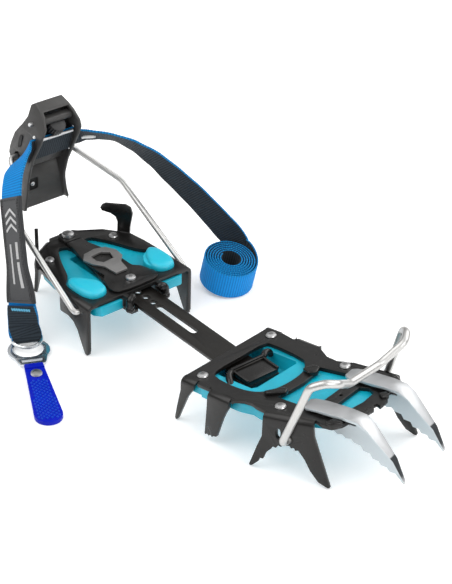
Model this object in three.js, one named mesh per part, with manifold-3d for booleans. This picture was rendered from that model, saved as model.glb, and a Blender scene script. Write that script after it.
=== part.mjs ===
// Step-in crampon: front and heel frames joined by a sliding link bar, wire
// bails at toe and heel, and a lever with a webbing strap.
// Millimetres. +X runs to the toe, +Y to the left, +Z up. Z = 0 is the ground
// under the spike tips and X = 0 is the front edge of the heel plate.
import * as THREE from 'three';
import { mergeVertices } from 'three/addons/utils/BufferGeometryUtils.js';
import Module from 'manifold-3d';

const wasm = await Module();
wasm.setup();

// ---- driving dimensions ----------------------------------------------------
const GAP = 0.3;              // clearance between touching pieces
const SHEET = 2.5;            // thickness of the frame steel
const BEND = 4.0;             // outside radius where a spike is bent down
const HEEL_TOP = 37.25;       // top of the heel plate
const HEEL_SPIKE_Y = 43;      // outer face of the heel's front spikes
const FRONT_X = 88.06;        // rear edge of the front plate
const FRONT_Y = -0.28;
const FRONT_TOP = 32.95;      // top of the front plate at its rear edge
const FRONT_YAW = THREE.MathUtils.degToRad(7.19);
const FRONT_PITCH = THREE.MathUtils.degToRad(5.92);
const BAR_WIDTH = 21;
const BAR_THICK = 2.5;
const BAR_PITCH = THREE.MathUtils.degToRad(1.75);
const BAR_HOLE_STEP = 8;      // spacing of the length holes
const PEG_X = -10.5;          // lock peg, in the third hole from the slot
const TOE_WIRE = 2.5;         // wire radii
const HEEL_WIRE = 2.0;
const AXLE = new THREE.Vector3(-114, 0, 92);        // heel bail's crossbar
const SCREW_DIR = new THREE.Vector3(0.648, 0, 0.7616); // the lever slides this way
const STRAP_WIDTH = 20;
const STRAP_THICK = 1.6;
const COIL_RADIUS = 19.2;
const COIL_HOLE = 6.5;
const COIL_TILT = THREE.MathUtils.degToRad(14);
const COIL_CENTRE = new THREE.Vector3(-12, 85.6, 14.4);

const COLOURS = {
  frame: [0x26272b, 0.45, 0.6],
  bar: [0x1d1b19, 0.45, 0.6],
  antiball: [0x12a3ba, 0.5, 0.0],
  steel: [0xc4c7ca, 0.3, 1.0],
  lever: [0x38383b, 0.55, 0.0],
  lock: [0x8f9092, 0.6, 0.8],
  webbing: [0x2a3a4a, 0.85, 0.0],
  coil: [0x1c86dc, 0.85, 0.0],
  label: [0x4a4d52, 0.9, 0.0],
  tab: [0x0a22b4, 0.5, 0.0],
};

// ---- general helpers ---------------------------------------------------------
const vec = (x, y, z) => new THREE.Vector3(x, y, z);

function toSolid(geometry) {
  const bare = geometry.clone();
  bare.deleteAttribute('normal');
  bare.deleteAttribute('uv');
  const merged = mergeVertices(bare, 1e-4);
  return new wasm.Manifold(new wasm.Mesh({
    numProp: 3,
    vertProperties: new Float32Array(merged.attributes.position.array),
    triVerts: new Uint32Array(merged.index.array),
  }));
}

function toGeometry(solid) {
  const mesh = solid.getMesh();
  const geometry = new THREE.BufferGeometry();
  geometry.setAttribute('position', new THREE.BufferAttribute(mesh.vertProperties.slice(), 3));
  geometry.setIndex(new THREE.BufferAttribute(mesh.triVerts.slice(), 1));
  return geometry;
}

// Joins every geometry in `parts`, then takes away every one in `cuts`.
function solidFrom(parts, cuts = []) {
  let solid = toSolid(parts[0]);
  for (const part of parts.slice(1)) solid = solid.add(toSolid(part));
  for (const cut of cuts) solid = solid.subtract(toSolid(cut));
  return toGeometry(solid);
}

// A prism on the outline `points` drawn along axes u and v from `origin`, running
// from `low` to `high` along their normal.
function prism(points, low, high, origin = vec(0, 0, 0), u = vec(1, 0, 0), v = vec(0, 1, 0)) {
  const shape = new THREE.Shape(points.map(([a, b]) => new THREE.Vector2(a, b)));
  const geometry = new THREE.ExtrudeGeometry(shape, { depth: high - low, bevelEnabled: false });
  geometry.translate(0, 0, low);
  const basis = new THREE.Matrix4().makeBasis(u, v, u.clone().cross(v));
  return geometry.applyMatrix4(basis.setPosition(origin));
}

// A prism whose outline is (x, z) and whose thickness runs across the part.
function sidePrism(points, yLow, yHigh) {
  return prism(points, -yHigh, -yLow, vec(0, 0, 0), vec(1, 0, 0), vec(0, 0, 1));
}

const circle = (x, y, r, n = 16) => Array.from({ length: n }, (_, i) => {
  const a = (i / n) * Math.PI * 2;
  return [x + r * Math.cos(a), y + r * Math.sin(a)];
});

// Smooths a closed outline into a curve with `count` points.
function smoothOutline(points, count) {
  const curve = new THREE.CatmullRomCurve3(points.map(([a, b]) => vec(a, b, 0)), true, 'centripetal');
  return curve.getPoints(count).slice(0, count).map((p) => [p.x, p.y]);
}

const mirrorY = (points) => points.map(([x, y]) => [x, -y]).reverse();

// Wire or rod of round section along rounded corner points.
function wire(corners, radius, steps, sides = 10) {
  const path = new THREE.CatmullRomCurve3(corners, false, 'centripetal');
  const section = new THREE.Shape(circle(0, 0, radius, sides).map(([a, b]) => new THREE.Vector2(a, b)));
  return new THREE.ExtrudeGeometry(section, { steps, bevelEnabled: false, extrudePath: path });
}

// Puts two points near each corner so that a wire through them bends with radius `r`.
function rounded(points, r) {
  const path = [points[0]];
  for (let i = 1; i < points.length - 1; i += 1) {
    const into = points[i - 1].clone().sub(points[i]).setLength(r);
    const away = points[i + 1].clone().sub(points[i]).setLength(r);
    path.push(points[i].clone().addScaledVector(into, 1.7));
    path.push(points[i].clone().add(into));
    path.push(points[i].clone().addScaledVector(into, 0.27).addScaledVector(away, 0.27));
    path.push(points[i].clone().add(away));
    path.push(points[i].clone().addScaledVector(away, 1.7));
  }
  path.push(points.at(-1));
  return path;
}

// Closed mesh through rings of equal length, with flat ends.
function loft(rings) {
  const n = rings[0].length;
  const position = rings.flat().flatMap((p) => [p.x, p.y, p.z]);
  const index = [];
  for (let r = 0; r + 1 < rings.length; r += 1) {
    for (let i = 0; i < n; i += 1) {
      const a = r * n + i;
      const b = r * n + ((i + 1) % n);
      index.push(a, b, b + n, a, b + n, a + n);
    }
  }
  const last = (rings.length - 1) * n;
  for (let i = 1; i + 1 < n; i += 1) {
    index.push(0, i + 1, i, last, last + i, last + i + 1);
  }
  const geometry = new THREE.BufferGeometry();
  geometry.setAttribute('position', new THREE.Float32BufferAttribute(position, 3));
  geometry.setIndex(index);
  return geometry;
}

// Flat strip along `route`: each stop has a centre and the direction of its width.
// `span` takes a part of the route, and `lift` raises the strip off its face.
function strip(route, width, thick, steps, span = [0, 1], lift = 0) {
  const centres = new THREE.CatmullRomCurve3(route.map(([c]) => c), false, 'centripetal');
  const widths = new THREE.CatmullRomCurve3(route.map(([, w]) => w.clone().normalize()));
  const rings = [];
  for (let i = 0; i <= steps; i += 1) {
    const t = span[0] + (i / steps) * (span[1] - span[0]);
    const centre = centres.getPoint(t);
    const along = centres.getTangent(t);
    const side = widths.getPoint(t);
    side.addScaledVector(along, -side.dot(along)).setLength(width / 2);
    const face = along.clone().cross(side).setLength(thick / 2);
    centre.addScaledVector(face, (2 * lift) / thick);
    rings.push([[-1, -1], [1, -1], [1, 1], [-1, 1]].map(([s, f]) => (
      centre.clone().addScaledVector(side, s).addScaledVector(face, f))));
  }
  return loft(rings);
}

// Round pin along `axis`: [radius, distance] pairs from the axis and back to it.
function turned(profile, origin, axis, segments = 20) {
  const geometry = new THREE.LatheGeometry(profile.map(([r, h]) => new THREE.Vector2(r, h)), segments);
  const turn = new THREE.Quaternion().setFromUnitVectors(vec(0, 1, 0), axis.clone().normalize());
  return geometry.applyQuaternion(turn).translate(origin.x, origin.y, origin.z);
}

// ---- frames in space ---------------------------------------------------------
const FRONT = new THREE.Matrix4().makeTranslation(FRONT_X, FRONT_Y, FRONT_TOP)
  .multiply(new THREE.Matrix4().makeRotationZ(FRONT_YAW))
  .multiply(new THREE.Matrix4().makeRotationY(-FRONT_PITCH));
const HEEL = new THREE.Matrix4().makeTranslation(0, 0, HEEL_TOP);
const FRONT_UP = vec(0, 0, 1).transformDirection(FRONT);

// A point of the front frame: x and y along its plate, and a height above the ground.
function frontPoint(x, y, z) {
  const p = vec(x, y, 0).applyAxisAngle(vec(0, 0, 1), FRONT_YAW);
  return vec(p.x + FRONT_X, p.y + FRONT_Y, z);
}
const frontTopAt = (x) => FRONT_TOP + x * Math.tan(FRONT_PITCH);

function plateSlab(frame, outline, holes, top, thick) {
  const cut = holes.map((h) => prism(h, top - thick - 1, top + 1).applyMatrix4(frame));
  return solidFrom([prism(outline, top - thick, top).applyMatrix4(frame)], cut);
}

// A tab bent down (or up) from a plate's edge. `from` and `to` are the ends of the
// bend's outer face at the plate's top, and `outline` gives points (distance along,
// height above the ground). `splay` leans it outwards.
function bentTab({ from, to, outward, outline, splay = 0, up = false, radius = BEND }) {
  const along = to.clone().sub(from).normalize();
  const out = outward.clone().addScaledVector(along, -outward.dot(along)).normalize();
  const rise = along.clone().cross(out);
  if ((rise.z < 0) !== up) rise.negate();
  // `rise` points away from the bend's side: up for a tab bent down.
  const profile = [[-radius - 1, 0], [-radius, 0]];
  const inner = [[-radius, -SHEET], [-radius - 1, -SHEET]];
  const turns = 5;
  for (let i = 1; i <= turns; i += 1) {
    const a = Math.PI / 2 - (i / turns) * (Math.PI / 2 - splay);
    profile.push([-radius + radius * Math.cos(a), -radius + radius * Math.sin(a)]);
    const r = radius - SHEET;
    inner.unshift([-radius + r * Math.cos(a), -radius + r * Math.sin(a)]);
  }
  const reach = 60;
  const drop = [Math.sin(splay) * reach, -Math.cos(splay) * reach];
  profile.push([profile.at(-1)[0] + drop[0], profile.at(-1)[1] + drop[1]]);
  inner.unshift([inner[0][0] + drop[0], inner[0][1] + drop[1]]);
  const flip = out.clone().cross(rise).dot(along) < 0 ? -1 : 1;
  const span = [-20 * flip, (to.distanceTo(from) + 40) * flip].sort((a, b) => a - b);
  const skin = prism([...profile, ...inner], span[0], span[1], from, out, rise);
  const down = rise.clone().multiplyScalar(-Math.cos(splay)).addScaledVector(out, Math.sin(splay));
  const flat = vec(along.x, along.y, 0).length();
  const lean = (down.x * along.x + down.y * along.y) / flat;
  const det = flat * down.z - along.z * lean;
  const points = outline.map(([s, z]) => {
    const height = z - from.z;
    return [(s * down.z - height * lean) / det, (s * along.z - flat * height) / det];
  });
  const face = prism(points, -14, 14, from, along, down.clone().negate());
  return toGeometry(toSolid(skin).intersect(toSolid(face)));
}

// Serrates the straight run from a to b with `teeth` small teeth of the given depth.
function serrated(a, b, teeth, depth) {
  const points = [];
  const dx = b[0] - a[0];
  const dz = b[1] - a[1];
  const size = Math.hypot(dx, dz);
  for (let i = 0; i < teeth; i += 1) {
    const at = (k) => [a[0] + dx * k, a[1] + dz * k];
    points.push(at(i / teeth));
    const mid = at((i + 0.6) / teeth);
    points.push([mid[0] - (dz / size) * depth, mid[1] + (dx / size) * depth]);
  }
  return points;
}

// ---- rivets ------------------------------------------------------------------
const RIVET_SHANK = 1.9;
const RIVET_HOLE = RIVET_SHANK + GAP;

function rivetGeometry(frame, x, y, top, grip, head = 3.6) {
  const low = top - grip;
  const profile = [
    [0, low - GAP - 1.2], [head - 0.8, low - GAP - 1.2], [head - 0.8, low - GAP],
    [RIVET_SHANK, low - GAP], [RIVET_SHANK, top + GAP], [head, top + GAP],
    [head - 0.4, top + 1.1], [head * 0.55, top + 1.5], [0, top + 1.5],
  ];
  return turned(profile, vec(x, y, 0), vec(0, 0, 1), 14).applyMatrix4(frame);
}

// ---- front frame -------------------------------------------------------------
const FRONT_RIVETS = [[8.8, -31.5], [8.8, 31.5], [70.3, -30], [70.3, 30]];
const TOE_NEAR = { from: [63, -43.5], angle: THREE.MathUtils.degToRad(17.6) };
const TOE_FAR = { from: [66, 38.8], angle: THREE.MathUtils.degToRad(8.7) };
const TOE_PIVOT_NEAR = frontPoint(82.7, -37.2, 26.3);
const TOE_PIVOT_FAR = frontPoint(86.6, 42.1, 26.3);

const FAR_SPLAY = THREE.MathUtils.degToRad(8);
// Point of the plate `s` along a toe bend line and `inset` inside it.
function onToeLine(line, side, s, inset) {
  const [x, y] = line.from;
  const c = Math.cos(line.angle);
  const d = Math.sin(line.angle);
  return [x + s * c - side * -inset * d, y + s * d - side * inset * c];
}

const FRONT_OUTLINE = [
  [0, -37.5], [12, -37.5], [12.5, -40.5], [22.5, -40.5], [24, -40], [41, -40], [42.5, -43],
  [44, -40.5], [48, -37.8], [54, -37.2], [59, -38.4],
  onToeLine(TOE_NEAR, -1, 3, BEND), onToeLine(TOE_NEAR, -1, 36, BEND),
  [103, -30.5], [108.5, -29], [111.9, -23], [112.5, -16], [114.4, -9.9], [115.3, 1.7],
  [112.5, 4.5], [112.9, 7.2], [116.3, 6.2], [115.1, 15.1], [110.8, 18], [110.5, 28],
  [107.5, 34.5], [102, 39],
  onToeLine(TOE_FAR, 1, 32, BEND), onToeLine(TOE_FAR, 1, 3, BEND),
  [67, 34.6], [62.3, 32.1], [53.8, 32.6], [44, 38], [42.5, 41], [41, 38], [24.5, 38],
  [22.5, 36.6], [12.4, 38.4], [12, 37.5], [0, 37.5],
];
const REAR_OPENING = smoothOutline([
  [12.6, 22.5], [16, 23.5], [45, 20.6], [49, 17], [53.6, 10], [55.4, 0], [54.4, -14],
  [50, -23.5], [42, -28], [25, -29], [13.5, -26], [11.4, -21], [11.4, 0],
], 40);
const MID_OPENING = [
  [61.4, -22.6], [75.8, -21.6], [86.4, -18.5], [84.2, 15], [82, 23.5], [78, 24], [57.5, 19.4],
  [61.5, 10], [63, 0], [62.6, -12],
];
const TOE_OPENING = [
  [95.4, -14], [102, -11], [104.4, -7], [105.4, 4], [103.8, 16], [98, 18.5], [93.2, 16],
];
const SIDE_OPENING = [[87.5, 28], [99, 27.5], [97.5, 32], [93.5, 34.8], [88, 31.5]];

function frontFrame() {
  const slab = plateSlab(FRONT, FRONT_OUTLINE,
    [REAR_OPENING, MID_OPENING, TOE_OPENING, SIDE_OPENING, circle(90, 2, 1.1, 10)], 0, SHEET);
  const near = frontPoint(0, -1, 0).sub(frontPoint(0, 0, 0));
  const far = near.clone().negate();
  const at = (x, y) => frontPoint(x, y, frontTopAt(x));
  const along = (line, s) => at(line.from[0] + s * Math.cos(line.angle),
    line.from[1] + s * Math.sin(line.angle));
  const rearSpike = [[0.5, 36], [0.5, 24], [-2.5, 10], [-4, 1], [-3.2, 0], [-2, 0.6], [5.8, 20.4],
    [11, 29], [12.5, 36]];
  const middleSpike = [[0, 38], [-0.4, 25], [-1.6, 4], ...serrated([-1, 3.4], [7, 4.4], 3, 1.1),
    [8, 6], [12.5, 21], [15, 27], [17, 31], [17, 38]];
  const toeSpikes = [[4, 44], [4, 24], [1.5, 17], [-3.2, 1.5], [-2.4, 0.7], [-1.2, 1.2],
    ...serrated([2.7, 5.3], [8.8, 11], 2, 1.5), [7.8, 13.8],
    ...serrated([10.3, 16.6], [20, 21.9], 3, 1.3), ...serrated([20, 21.9], [28.5, 19.6], 3, 1.2),
    [32, 16], [35.8, 9.4], [41.4, 3], [47.6, 0.7], [49, 1.2], [48.2, 3.5], [40.8, 22.9],
    [37, 33], [36, 40.5], [35.5, 48]];
  const tabs = [
    bentTab({ from: at(-1, -41.5), to: at(12, -41.5), outward: near, outline: rearSpike }),
    bentTab({ from: at(-1, 41.5), to: at(12, 41.5), outward: far, outline: rearSpike }),
    bentTab({ from: at(24, -44), to: at(41, -44), outward: near, outline: middleSpike }),
    bentTab({ from: at(24.5, 42), to: at(41.5, 42), outward: far, outline: middleSpike }),
    bentTab({ from: along(TOE_NEAR, 0), to: along(TOE_NEAR, 30), outward: near, outline: toeSpikes }),
    bentTab({ from: along(TOE_FAR, 0), to: along(TOE_FAR, 30), outward: far, outline: toeSpikes,
      splay: FAR_SPLAY }),
  ];
  const pivotAxis = TOE_PIVOT_FAR.clone().sub(TOE_PIVOT_NEAR).normalize();
  const bore = turned([[0, -12], [TOE_WIRE + GAP, -12], [TOE_WIRE + GAP, 12], [0, 12]],
    TOE_PIVOT_NEAR, pivotAxis, 16);
  const farBore = turned([[0, -12], [TOE_WIRE + GAP, -12], [TOE_WIRE + GAP, 12], [0, 12]],
    TOE_PIVOT_FAR, pivotAxis, 16);
  const cuts = FRONT_RIVETS.map(([x, y]) => prism(circle(x, y, RIVET_HOLE), -4, 1).applyMatrix4(FRONT));
  cuts.push(bore, farBore);
  for (const [line, out] of [[TOE_NEAR, near], [TOE_FAR, far]]) {
    const centre = along(line, 14.4);
    centre.z = 28.9;
    cuts.push(turned([[0, -9], [1, -9], [1, 9], [0, 9]], vec(0, 0, 0), vec(0, 1, 0), 12)
      .scale(1.5, 1, 3.6).applyMatrix4(new THREE.Matrix4().makeRotationZ(
        Math.atan2(out.y, out.x) + Math.PI / 2).setPosition(centre)));
  }
  return solidFrom([slab, ...tabs], cuts);
}

// ---- front points ------------------------------------------------------------
const POINT_YAW = FRONT_YAW + THREE.MathUtils.degToRad(7);
const POINT_ROOTS = { right: [84.3, -19], left: [81.7, 22.7] };
const POINT_RIDGE = [[-3, 43.9, 4], [0, 44.3, 6], [7.9, 45.9, 6.3], [18.2, 47, 6.3], [26, 47.9, 6],
  [34.6, 48.2, 5.6], [41.1, 44.9, 5], [47.7, 38.9, 4.2], [58.4, 29.4, 2.6], [65.8, 17.2, 1.2]];

function frontPointGeometry([x, y]) {
  const root = frontPoint(x, y, 0);
  const along = vec(Math.cos(POINT_YAW), Math.sin(POINT_YAW), 0);
  const side = vec(-along.y, along.x, 0);
  const place = (s, w, z) => root.clone().addScaledVector(along, s).addScaledVector(side, w).setZ(z);
  const thick = 1.9;
  const rings = POINT_RIDGE.map(([s, z, w]) => [
    place(s, -w, z - thick), place(s, w, z - thick), place(s, w, z), place(s, -w, z),
  ]);
  const plateBottom = (s) => frontTopAt(x + s) - SHEET / Math.cos(FRONT_PITCH) - 2 * GAP;
  const web = [
    [5, plateBottom(5)], [6.3, 33], ...serrated([7.5, 31.5], [19.2, 31], 2, 1.5),
    ...serrated([19.2, 31], [31, 29.9], 2, 1.6), ...serrated([31, 29.9], [44.2, 24.2], 2, 1.8),
    ...serrated([44.2, 24.2], [61.7, 18.4], 3, 1.5), [65.8, 15.4],
    [65.4, 16.4], [58, 28.6], [47.6, 38], [41, 44], [34.6, 47.4], [31.5, 47.4],
    [31.5, plateBottom(31.5)],
  ];
  return solidFrom([loft(rings), prism(web, -1.2, 1.2, root, along, vec(0, 0, 1))]);
}

// ---- antiballing plates --------------------------------------------------------
// A thin tray under a frame, with a deeper `pocket` inside a `well` for the link bar.
const TRAY_WALL = 1.8;
const TRAY_DEPTH = 6.5;

function antiballTray({ frame, outline, inner, pocket, well, pocketDepth, rivets, extra = [] }) {
  const top = -SHEET - GAP;
  const low = top - TRAY_DEPTH;
  const outer = prism(outline, low, top).applyMatrix4(frame);
  const clear = prism(pocket, top - pocketDepth, top + 1).applyMatrix4(frame);
  const hollow = prism(inner, low - 1, top - TRAY_WALL).applyMatrix4(frame);
  let shell = toSolid(outer).subtract(toSolid(hollow));
  const box = prism(well, top - pocketDepth - TRAY_WALL, top).applyMatrix4(frame);
  shell = shell.add(toSolid(box)).subtract(toSolid(clear));
  const holes = rivets.map(([x, y]) => prism(circle(x, y, RIVET_HOLE), low - 1, 1).applyMatrix4(frame));
  return solidFrom([toGeometry(shell), ...extra], holes);
}

function frontAntiball() {
  const outline = [
    [3, -38], [13.6, -38], [14.6, -39.6], [23, -39.6], [24, -38.5], [42, -38.5], [46, -38.3],
    [54, -36.2], [60, -37.4], [68, -37.2], [78, -32.9], [92, -24.6], [101, -20], [106, -12], [107, 6],
    [103, 27], [97, 36.6], [68.6, 35.6], [61, 30.8], [50, 31.5], [43, 36.3], [22, 35.2], [13, 36.4],
    [3, 36.4],
  ];
  const inner = [
    [5, -36], [14, -36.2], [42, -36.4], [54, -34.2], [60, -35.4], [67.6, -35.3],
    [77.1, -31.1], [91.2, -22.8], [99.4, -18.4], [104, -11.4], [105, 6], [101.2, 25.6], [96, 34.6], [68.4, 33.7],
    [60.4, 28.8], [50, 29.5], [42, 34.3], [22, 33.2], [13, 34.4], [5, 34.4],
  ];
  const pocket = [[2, -21], [39, -21], [41, -18], [41, 18], [39, 20], [2, 20]];
  const well = [[1, -22.8], [40, -22.8], [42.8, -19], [42.8, 19], [40, 21.8], [1, 21.8]];
  const tray = antiballTray({ frame: FRONT, outline, inner, pocket, well, pocketDepth: 10.4,
    rivets: FRONT_RIVETS });
  const cuts = [prism([[-4, -12.5], [6, -12.5], [6, 12.5], [-4, 12.5]], -16, 1).applyMatrix4(FRONT)];
  for (const [x, y] of Object.values(POINT_ROOTS)) {
    const gap = [[2, -2], [40, -2], [40, 2], [2, 2]];
    const turn = new THREE.Matrix4().makeRotationZ(POINT_YAW).setPosition(frontPoint(x, y, 0));
    cuts.push(prism(gap, 20, 46).applyMatrix4(turn));
  }
  return solidFrom([tray], cuts);
}

// ---- heel frame ----------------------------------------------------------------
const HEEL_RIVETS = [[-64.5, -26.5], [-64.5, 26.5]];
const REAR_BOLT = [-81, 0.5];
const HEEL_HALF = [
  [0, 39], [-31, 39], [-31.5, 40.5], [-47, 40], [-60.5, 38.4], [-63, 36.6], [-69.6, 32.2],
  [-74.6, 28.6], [-84.6, 12.6], [-88.5, 10],
];
const HEEL_OPENING = smoothOutline([
  [-71.5, 7], [-73, 12.5], [-66, 17.5], [-56, 22.5], [-40, 29.5], [-32, 36.5], [-16, 35.8],
  [-9, 31.5], [-8.8, 22], [-20, 15.5], [-55, 8],
], 34);

function heelFrame() {
  const outline = [...HEEL_HALF, ...mirrorY(HEEL_HALF)];
  const slab = plateSlab(HEEL, outline, [HEEL_OPENING, mirrorY(HEEL_OPENING)], 0, SHEET);
  const spike = [[0, 40], [0.2, 25], [0.6, 20.9], [9.2, 21.3], [14.8, 19.4], [19, 15.2], [23.2, 7.1],
    [27, 0.4], [28.2, 0], [30, 0.6], [31, 4], [31, 40]];
  const rearSpike = [[1, 40], [1.4, 28], [4.6, 17], [6.6, 3], [7.4, 0.5], [8.8, 0.5], [10.4, 8],
    [13, 18], [17.4, 28], [18, 40]];
  const post = [[-4.5, 30], [-5, 41.6], [-6.8, 52], [-5.4, 56.6], [-1.6, 58.4], [6.3, 57.7],
    [13, 57.2], [15.4, 55.8], [16.4, 53.6], [15, 51.6], [9, 50.6], [5.4, 48.6], [4, 45], [4.4, 30]];
  const tabs = [];
  for (const side of [-1, 1]) {
    const y = side * HEEL_SPIKE_Y;
    const at = (x, w) => vec(x, side * w, HEEL_TOP);
    tabs.push(bentTab({ from: vec(-31, y, HEEL_TOP), to: vec(0, y, HEEL_TOP),
      outward: vec(0, side, 0), outline: spike }));
    tabs.push(bentTab({ from: at(-88.5, 13.5), to: at(-78.5, 29.5), outward: vec(-0.85, side * 0.53, 0),
      outline: rearSpike, splay: THREE.MathUtils.degToRad(9.8) }));
    tabs.push(bentTab({ from: vec(-66, side * 37, HEEL_TOP - SHEET), to: at(-66 - 8.3, 37 - 5.6)
      .setZ(HEEL_TOP - SHEET), outward: vec(-0.56, side * 0.83, 0), outline: post, up: true, radius: 3.2 }));
    const loop = [[15, 2], [15, -10.5], [13.4, -12], [8, -12], [8, -9.6], [12.2, -9.6], [12.2, 2]];
    const guide = loop.map(([w, z]) => [w * side, z < 0 ? z + HEEL_TOP : HEEL_TOP - 0.6]);
    tabs.push(prism(side > 0 ? guide : guide.reverse(), -6, 8, vec(0, 0, 0), vec(0, 1, 0), vec(0, 0, 1)));
    const lip = [[-5, 11.9 * side], [6, 11.9 * side], [8, 12.5 * side], [8, 15 * side], [-5, 15 * side]];
    tabs.push(prism(side > 0 ? lip : lip.reverse(), HEEL_TOP - SHEET, HEEL_TOP));
  }
  const cuts = HEEL_RIVETS.map(([x, y]) => prism(circle(x, y, RIVET_HOLE), 30, 40));
  cuts.push(prism(circle(REAR_BOLT[0], REAR_BOLT[1], 2.6), 30, 40));
  cuts.push(prism(circle(PEG_X, 0, 3.4), 30, 40));
  cuts.push(turned([[0, -60], [HEEL_WIRE + GAP, -60], [HEEL_WIRE + GAP, 60], [0, 60]],
    vec(HEEL_PIVOT_X, 0, HEEL_PIVOT_Z), vec(0, 1, 0), 16));
  return solidFrom([slab, ...tabs], cuts);
}

function heelAntiball() {
  const half = [[2, 9], [2, 33], [-3, 37], [-30, 38], [-46, 37.4], [-59, 35.4], [-66, 31.8], [-71.6, 26.6],
    [-75.4, 20], [-75.6, 8]];
  const innerHalf = [[0, 18], [0, 31.4], [-4, 35], [-30, 36], [-46, 35.4], [-58, 33.4], [-65.4, 30],
    [-70, 25.4], [-73.4, 19], [-73.6, 8]];
  const outline = [...half.slice(1), ...mirrorY(half.slice(1))];
  const inner = [...innerHalf, ...mirrorY(innerHalf)];
  const pocket = [[3, -16], [3, 16], [-8, 16], [-8, 12.4], [-62, 12.4], [-62, -12.4], [-8, -12.4],
    [-8, -16]];
  const lobe = smoothOutline([[-32, 32.5], [-28, 35], [-16, 34.2], [-10.6, 30.6], [-10.4, 22.4],
    [-18, 18.6], [-28, 24]], 20);
  const lobes = [lobe, mirrorY(lobe)].map((l) => prism(l, -SHEET - GAP - 1, 2.6).applyMatrix4(HEEL));
  const well = [[-6, -14], [-6, 14], [-63.6, 14], [-63.6, -14]];
  const tray = antiballTray({ frame: HEEL, outline, inner, pocket, well, pocketDepth: 4.9,
    rivets: HEEL_RIVETS, extra: lobes });
  const front = prism([[-8, -15.6], [6, -15.6], [6, 15.6], [-8, 15.6]], 20, 40);
  return toGeometry(toSolid(tray).subtract(toSolid(front)));
}

// ---- link bar --------------------------------------------------------------------
// The bar's own frame: x along the bar from the heel plate's front edge, z from its top.
const BAR = new THREE.Matrix4().makeTranslation(0, 0, 32.75)
  .multiply(new THREE.Matrix4().makeRotationY(BAR_PITCH));
const BAR_REAR = -34;
const BAR_HEAD = 104;
const SLOT_RADIUS = 2.7;

function linkBar() {
  const half = BAR_WIDTH / 2;
  const outline = [
    [BAR_REAR, -half + 3], [BAR_REAR + 3, -half], [BAR_HEAD, -half], [BAR_HEAD + 2, -13.2],
    [BAR_HEAD + 18, -13.2], [BAR_HEAD + 18, 13.2], [BAR_HEAD + 2, 13.2], [BAR_HEAD, half],
    [BAR_REAR + 3, half], [BAR_REAR, half - 3],
  ];
  const cuts = [];
  for (let x = 13.4; x > BAR_REAR + 5; x -= BAR_HOLE_STEP) cuts.push(circle(x, 0, 2.3));
  const slot = [];
  for (const [x, turn] of [[54.5, -Math.PI / 2], [20.5, Math.PI / 2]]) {
    for (let i = 0; i <= 6; i += 1) {
      const a = turn + (i / 6) * Math.PI;
      slot.push([x + SLOT_RADIUS * Math.cos(a), SLOT_RADIUS * Math.sin(a)]);
    }
  }
  cuts.push(slot);
  const lip = prism([[BAR_HEAD + 2, -12], [BAR_HEAD + 4.5, -12], [BAR_HEAD + 4.5, 12],
    [BAR_HEAD + 2, 12]], -BAR_THICK, 4.2);
  return solidFrom([prism(outline, -BAR_THICK, 0), lip], cuts.map((c) => prism(c, -6, 6)))
    .applyMatrix4(BAR);
}

// ---- length lock -------------------------------------------------------------------
const LEAF_LOW = HEEL_TOP + GAP;
const LEAF_THICK = 1.5;

function lockLeaf() {
  const half = [[-1, 8], [-2.4, 15.6], [-5, 18.4], [-9, 18.8], [-20, 15.4], [-24, 11.4], [-46, 11.6],
    [-66, 6.5], [-73.4, 6.2]];
  return solidFrom([prism([...half, ...mirrorY(half)], LEAF_LOW, LEAF_LOW + LEAF_THICK)],
    [prism(circle(PEG_X, 0, 2.2), 30, 45)]);
}

function lockTab() {
  const low = LEAF_LOW + LEAF_THICK + GAP;
  const outline = [[-19.6, -5], [-19.6, 4.4], [-30, 6.8], [-35.6, 12.4], [-44, 13.4], [-51.6, 9.6],
    [-53.6, 2], [-52, -7.4], [-46, -12.4], [-38, -10.4], [-31, -5.8]];
  const hole = [[-35.4, -3.4], [-36.4, 5.6], [-43.6, 8], [-47.8, 3], [-46.6, -5.6], [-40, -6]];
  return solidFrom([prism(outline, low, low + 1.5)], [prism(hole, 30, 45)]);
}

function lockPeg() {
  const top = LEAF_LOW + LEAF_THICK;
  return turned([[0, 33.5], [1.9, 33.5], [1.9, top + GAP], [3.6, top + GAP], [3.3, top + 1.4],
    [2, top + 1.8], [0, top + 1.8]], vec(PEG_X, 0, 0), vec(0, 0, 1));
}

function lockClamp() {
  const outline = [[-74.2, -6.2], [-74.2, 6.6], [-84, 6.4], [-87, 3.6], [-87, -2.6], [-84, -5.6]];
  return solidFrom([prism(outline, LEAF_LOW, LEAF_LOW + LEAF_THICK)],
    [prism(circle(...REAR_BOLT, 2.6), 30, 45)]);
}

function rearBolt() {
  const top = LEAF_LOW + LEAF_THICK + GAP;
  return turned([[0, 27.4], [2.3, 27.4], [2.3, top], [4.3, top], [4.1, top + 1.8], [2.8, top + 2.4],
    [0, top + 2.4]], vec(...REAR_BOLT, 0), vec(0, 0, 1));
}

function rearNut() {
  const high = HEEL_TOP - SHEET - GAP;
  return solidFrom([prism(circle(...REAR_BOLT, 4.4, 6), high - 3.2, high)],
    [prism(circle(...REAR_BOLT, 2.3 + GAP), 20, 45)]);
}

// ---- bails -------------------------------------------------------------------------
const HEEL_PIVOT_X = -10;
const HEEL_PIVOT_Z = 30;

function heelBail() {
  const side = (s) => [
    vec(HEEL_PIVOT_X, s * 38.6, HEEL_PIVOT_Z), vec(HEEL_PIVOT_X, s * 46, HEEL_PIVOT_Z),
    vec(-78.7, s * 44.4, 69), vec(-104, s * 26, 87.4), vec(AXLE.x, s * 21.6, AXLE.z),
  ];
  const corners = [...side(-1), ...side(1).reverse()];
  return wire(rounded(corners, 3), HEEL_WIRE, 84, 8);
}

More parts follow.
